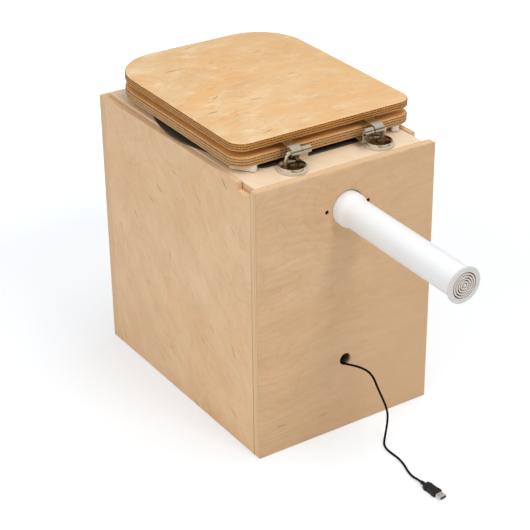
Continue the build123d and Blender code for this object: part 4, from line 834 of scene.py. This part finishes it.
# ---- floor ----
FLOOR_REACH = 6
FLOOR_GAP = 0.0002
FLOOR_SHADE = (0.618, 0.650, 0.682)
FLOOR_GLOW = 0.40
FAR_GLOW = 0.25
FAR_FROM_SQUARED = 0.30
FAR_TO_SQUARED = 1.6
floor_mesh = bpy.data.meshes.new("floor")
floor_mesh.from_pydata(
    [(x * FLOOR_REACH, y * FLOOR_REACH, 0) for x, y in ((-1, -1), (1, -1), (1, 1), (-1, 1))],
    [], [(0, 1, 2, 3)],
)
floor = bpy.data.objects.new("floor", floor_mesh)
bpy.context.collection.objects.link(floor)
floor.location.z = -FLOOR_GAP
# The camera sees a paler floor than the one that lights the pieces, and so sees soft shadows
floor_finish = Finish("floor_white", (0.90, 0.90, 0.90), 0.9, Specular_IOR_Level=0.0)
seen = floor_finish.node("ShaderNodeLightPath").out("Is Camera Ray")
shade = floor_finish.node("ShaderNodeBsdfDiffuse", None, {"Color": (*FLOOR_SHADE, 1)})
floor_x, floor_y, _ = floor_finish.xyz()
far = (floor_x ** 2.0 + floor_y ** 2.0).smooth(FAR_FROM_SQUARED, FAR_TO_SQUARED)
glow = floor_finish.node("ShaderNodeEmission", None, {
    "Color": (1, 1, 1, 1), "Strength": FLOOR_GLOW + far * FAR_GLOW,
})
both = floor_finish.node("ShaderNodeAddShader", None, {0: shade, 1: glow})
bounce = Signal(floor_finish, floor_finish.shader.outputs[0])
choice = floor_finish.node("ShaderNodeMixShader", None, {0: seen, 1: bounce, 2: both})
floor_finish.plug(floor_finish.tree.nodes["Material Output"].inputs["Surface"], choice)
floor_mesh.materials.append(floor_finish.material)


# ---- surroundings ----
SKY_STRENGTH = 0.61
# What shiny pieces mirror, from straight down at 0 to straight up at 1
MIRRORED = (
    (0.0, (0.50, 0.46, 0.40)), (0.47, (0.40, 0.33, 0.25)), (0.51, (0.09, 0.06, 0.035)),
    (0.60, (0.10, 0.065, 0.035)), (0.67, (0.40, 0.37, 0.32)), (0.76, (0.66, 0.63, 0.58)),
    (0.90, (0.95, 0.94, 0.91)), (0.99, (0.45, 0.43, 0.40)),
)
world = bpy.data.worlds.new("studio")
world.use_nodes = True
bpy.context.scene.world = world
sky = Network(world.node_tree)
rays = sky.node("ShaderNodeLightPath")
_, _, upwards = sky.xyz("Generated")
band = sky.node(
    "ShaderNodeValToRGB", {"stops": MIRRORED}, {"Fac": upwards.do("MULTIPLY_ADD", 0.5, 0.5)}
)
background = world.node_tree.nodes["Background"]
background.inputs["Color"].default_value = (1, 1, 1, 1)
background.inputs["Strength"].default_value = SKY_STRENGTH
plain = Signal(sky, background.outputs[0])
mirrored = sky.node("ShaderNodeBackground", None, {"Color": band, "Strength": 1.0})
backdrop = sky.node("ShaderNodeBackground", None, {"Strength": 1.0})
lighting = sky.node(
    "ShaderNodeMixShader", None, {0: rays.out("Is Glossy Ray"), 1: plain, 2: mirrored}
)
shown = sky.node(
    "ShaderNodeMixShader", None, {0: rays.out("Is Camera Ray"), 1: lighting, 2: backdrop}
)
sky.plug(world.node_tree.nodes["World Output"].inputs["Surface"], shown)


# ---- square lamps: place, the point that each faces, size in metres and power in watts ----
SOFTBOXES = {
    "top_softbox": ((-0.5, 0.2, 2.4), (0, 0, 0.3), 1.3, 13),
    "left_softbox": ((2.3, 0.6, 2.1), (0, 0, 0.3), 1.8, 19),
    "back_softbox": ((0.4, 3.0, 1.6), (0, 0, 0.3), 1.8, 3),
    "pipe_softbox": ((-0.2, 1.45, 2.1), (0, 0.2, 0.3), 0.5, 10.5),
}
for name, (place, aim, size, power) in SOFTBOXES.items():
    lamp_data = bpy.data.lights.new(name, "AREA")
    lamp_data.shape = "SQUARE"
    lamp_data.size = size
    lamp_data.energy = power
    lamp = bpy.data.objects.new(name, lamp_data)
    bpy.context.collection.objects.link(lamp)
    lamp.location = place
    lamp.visible_glossy = False
    lamp.rotation_euler = (Vector(aim) - Vector(place)).to_track_quat("-Z", "Y").to_euler()

scene = bpy.context.scene
scene.view_settings.view_transform = "Standard"
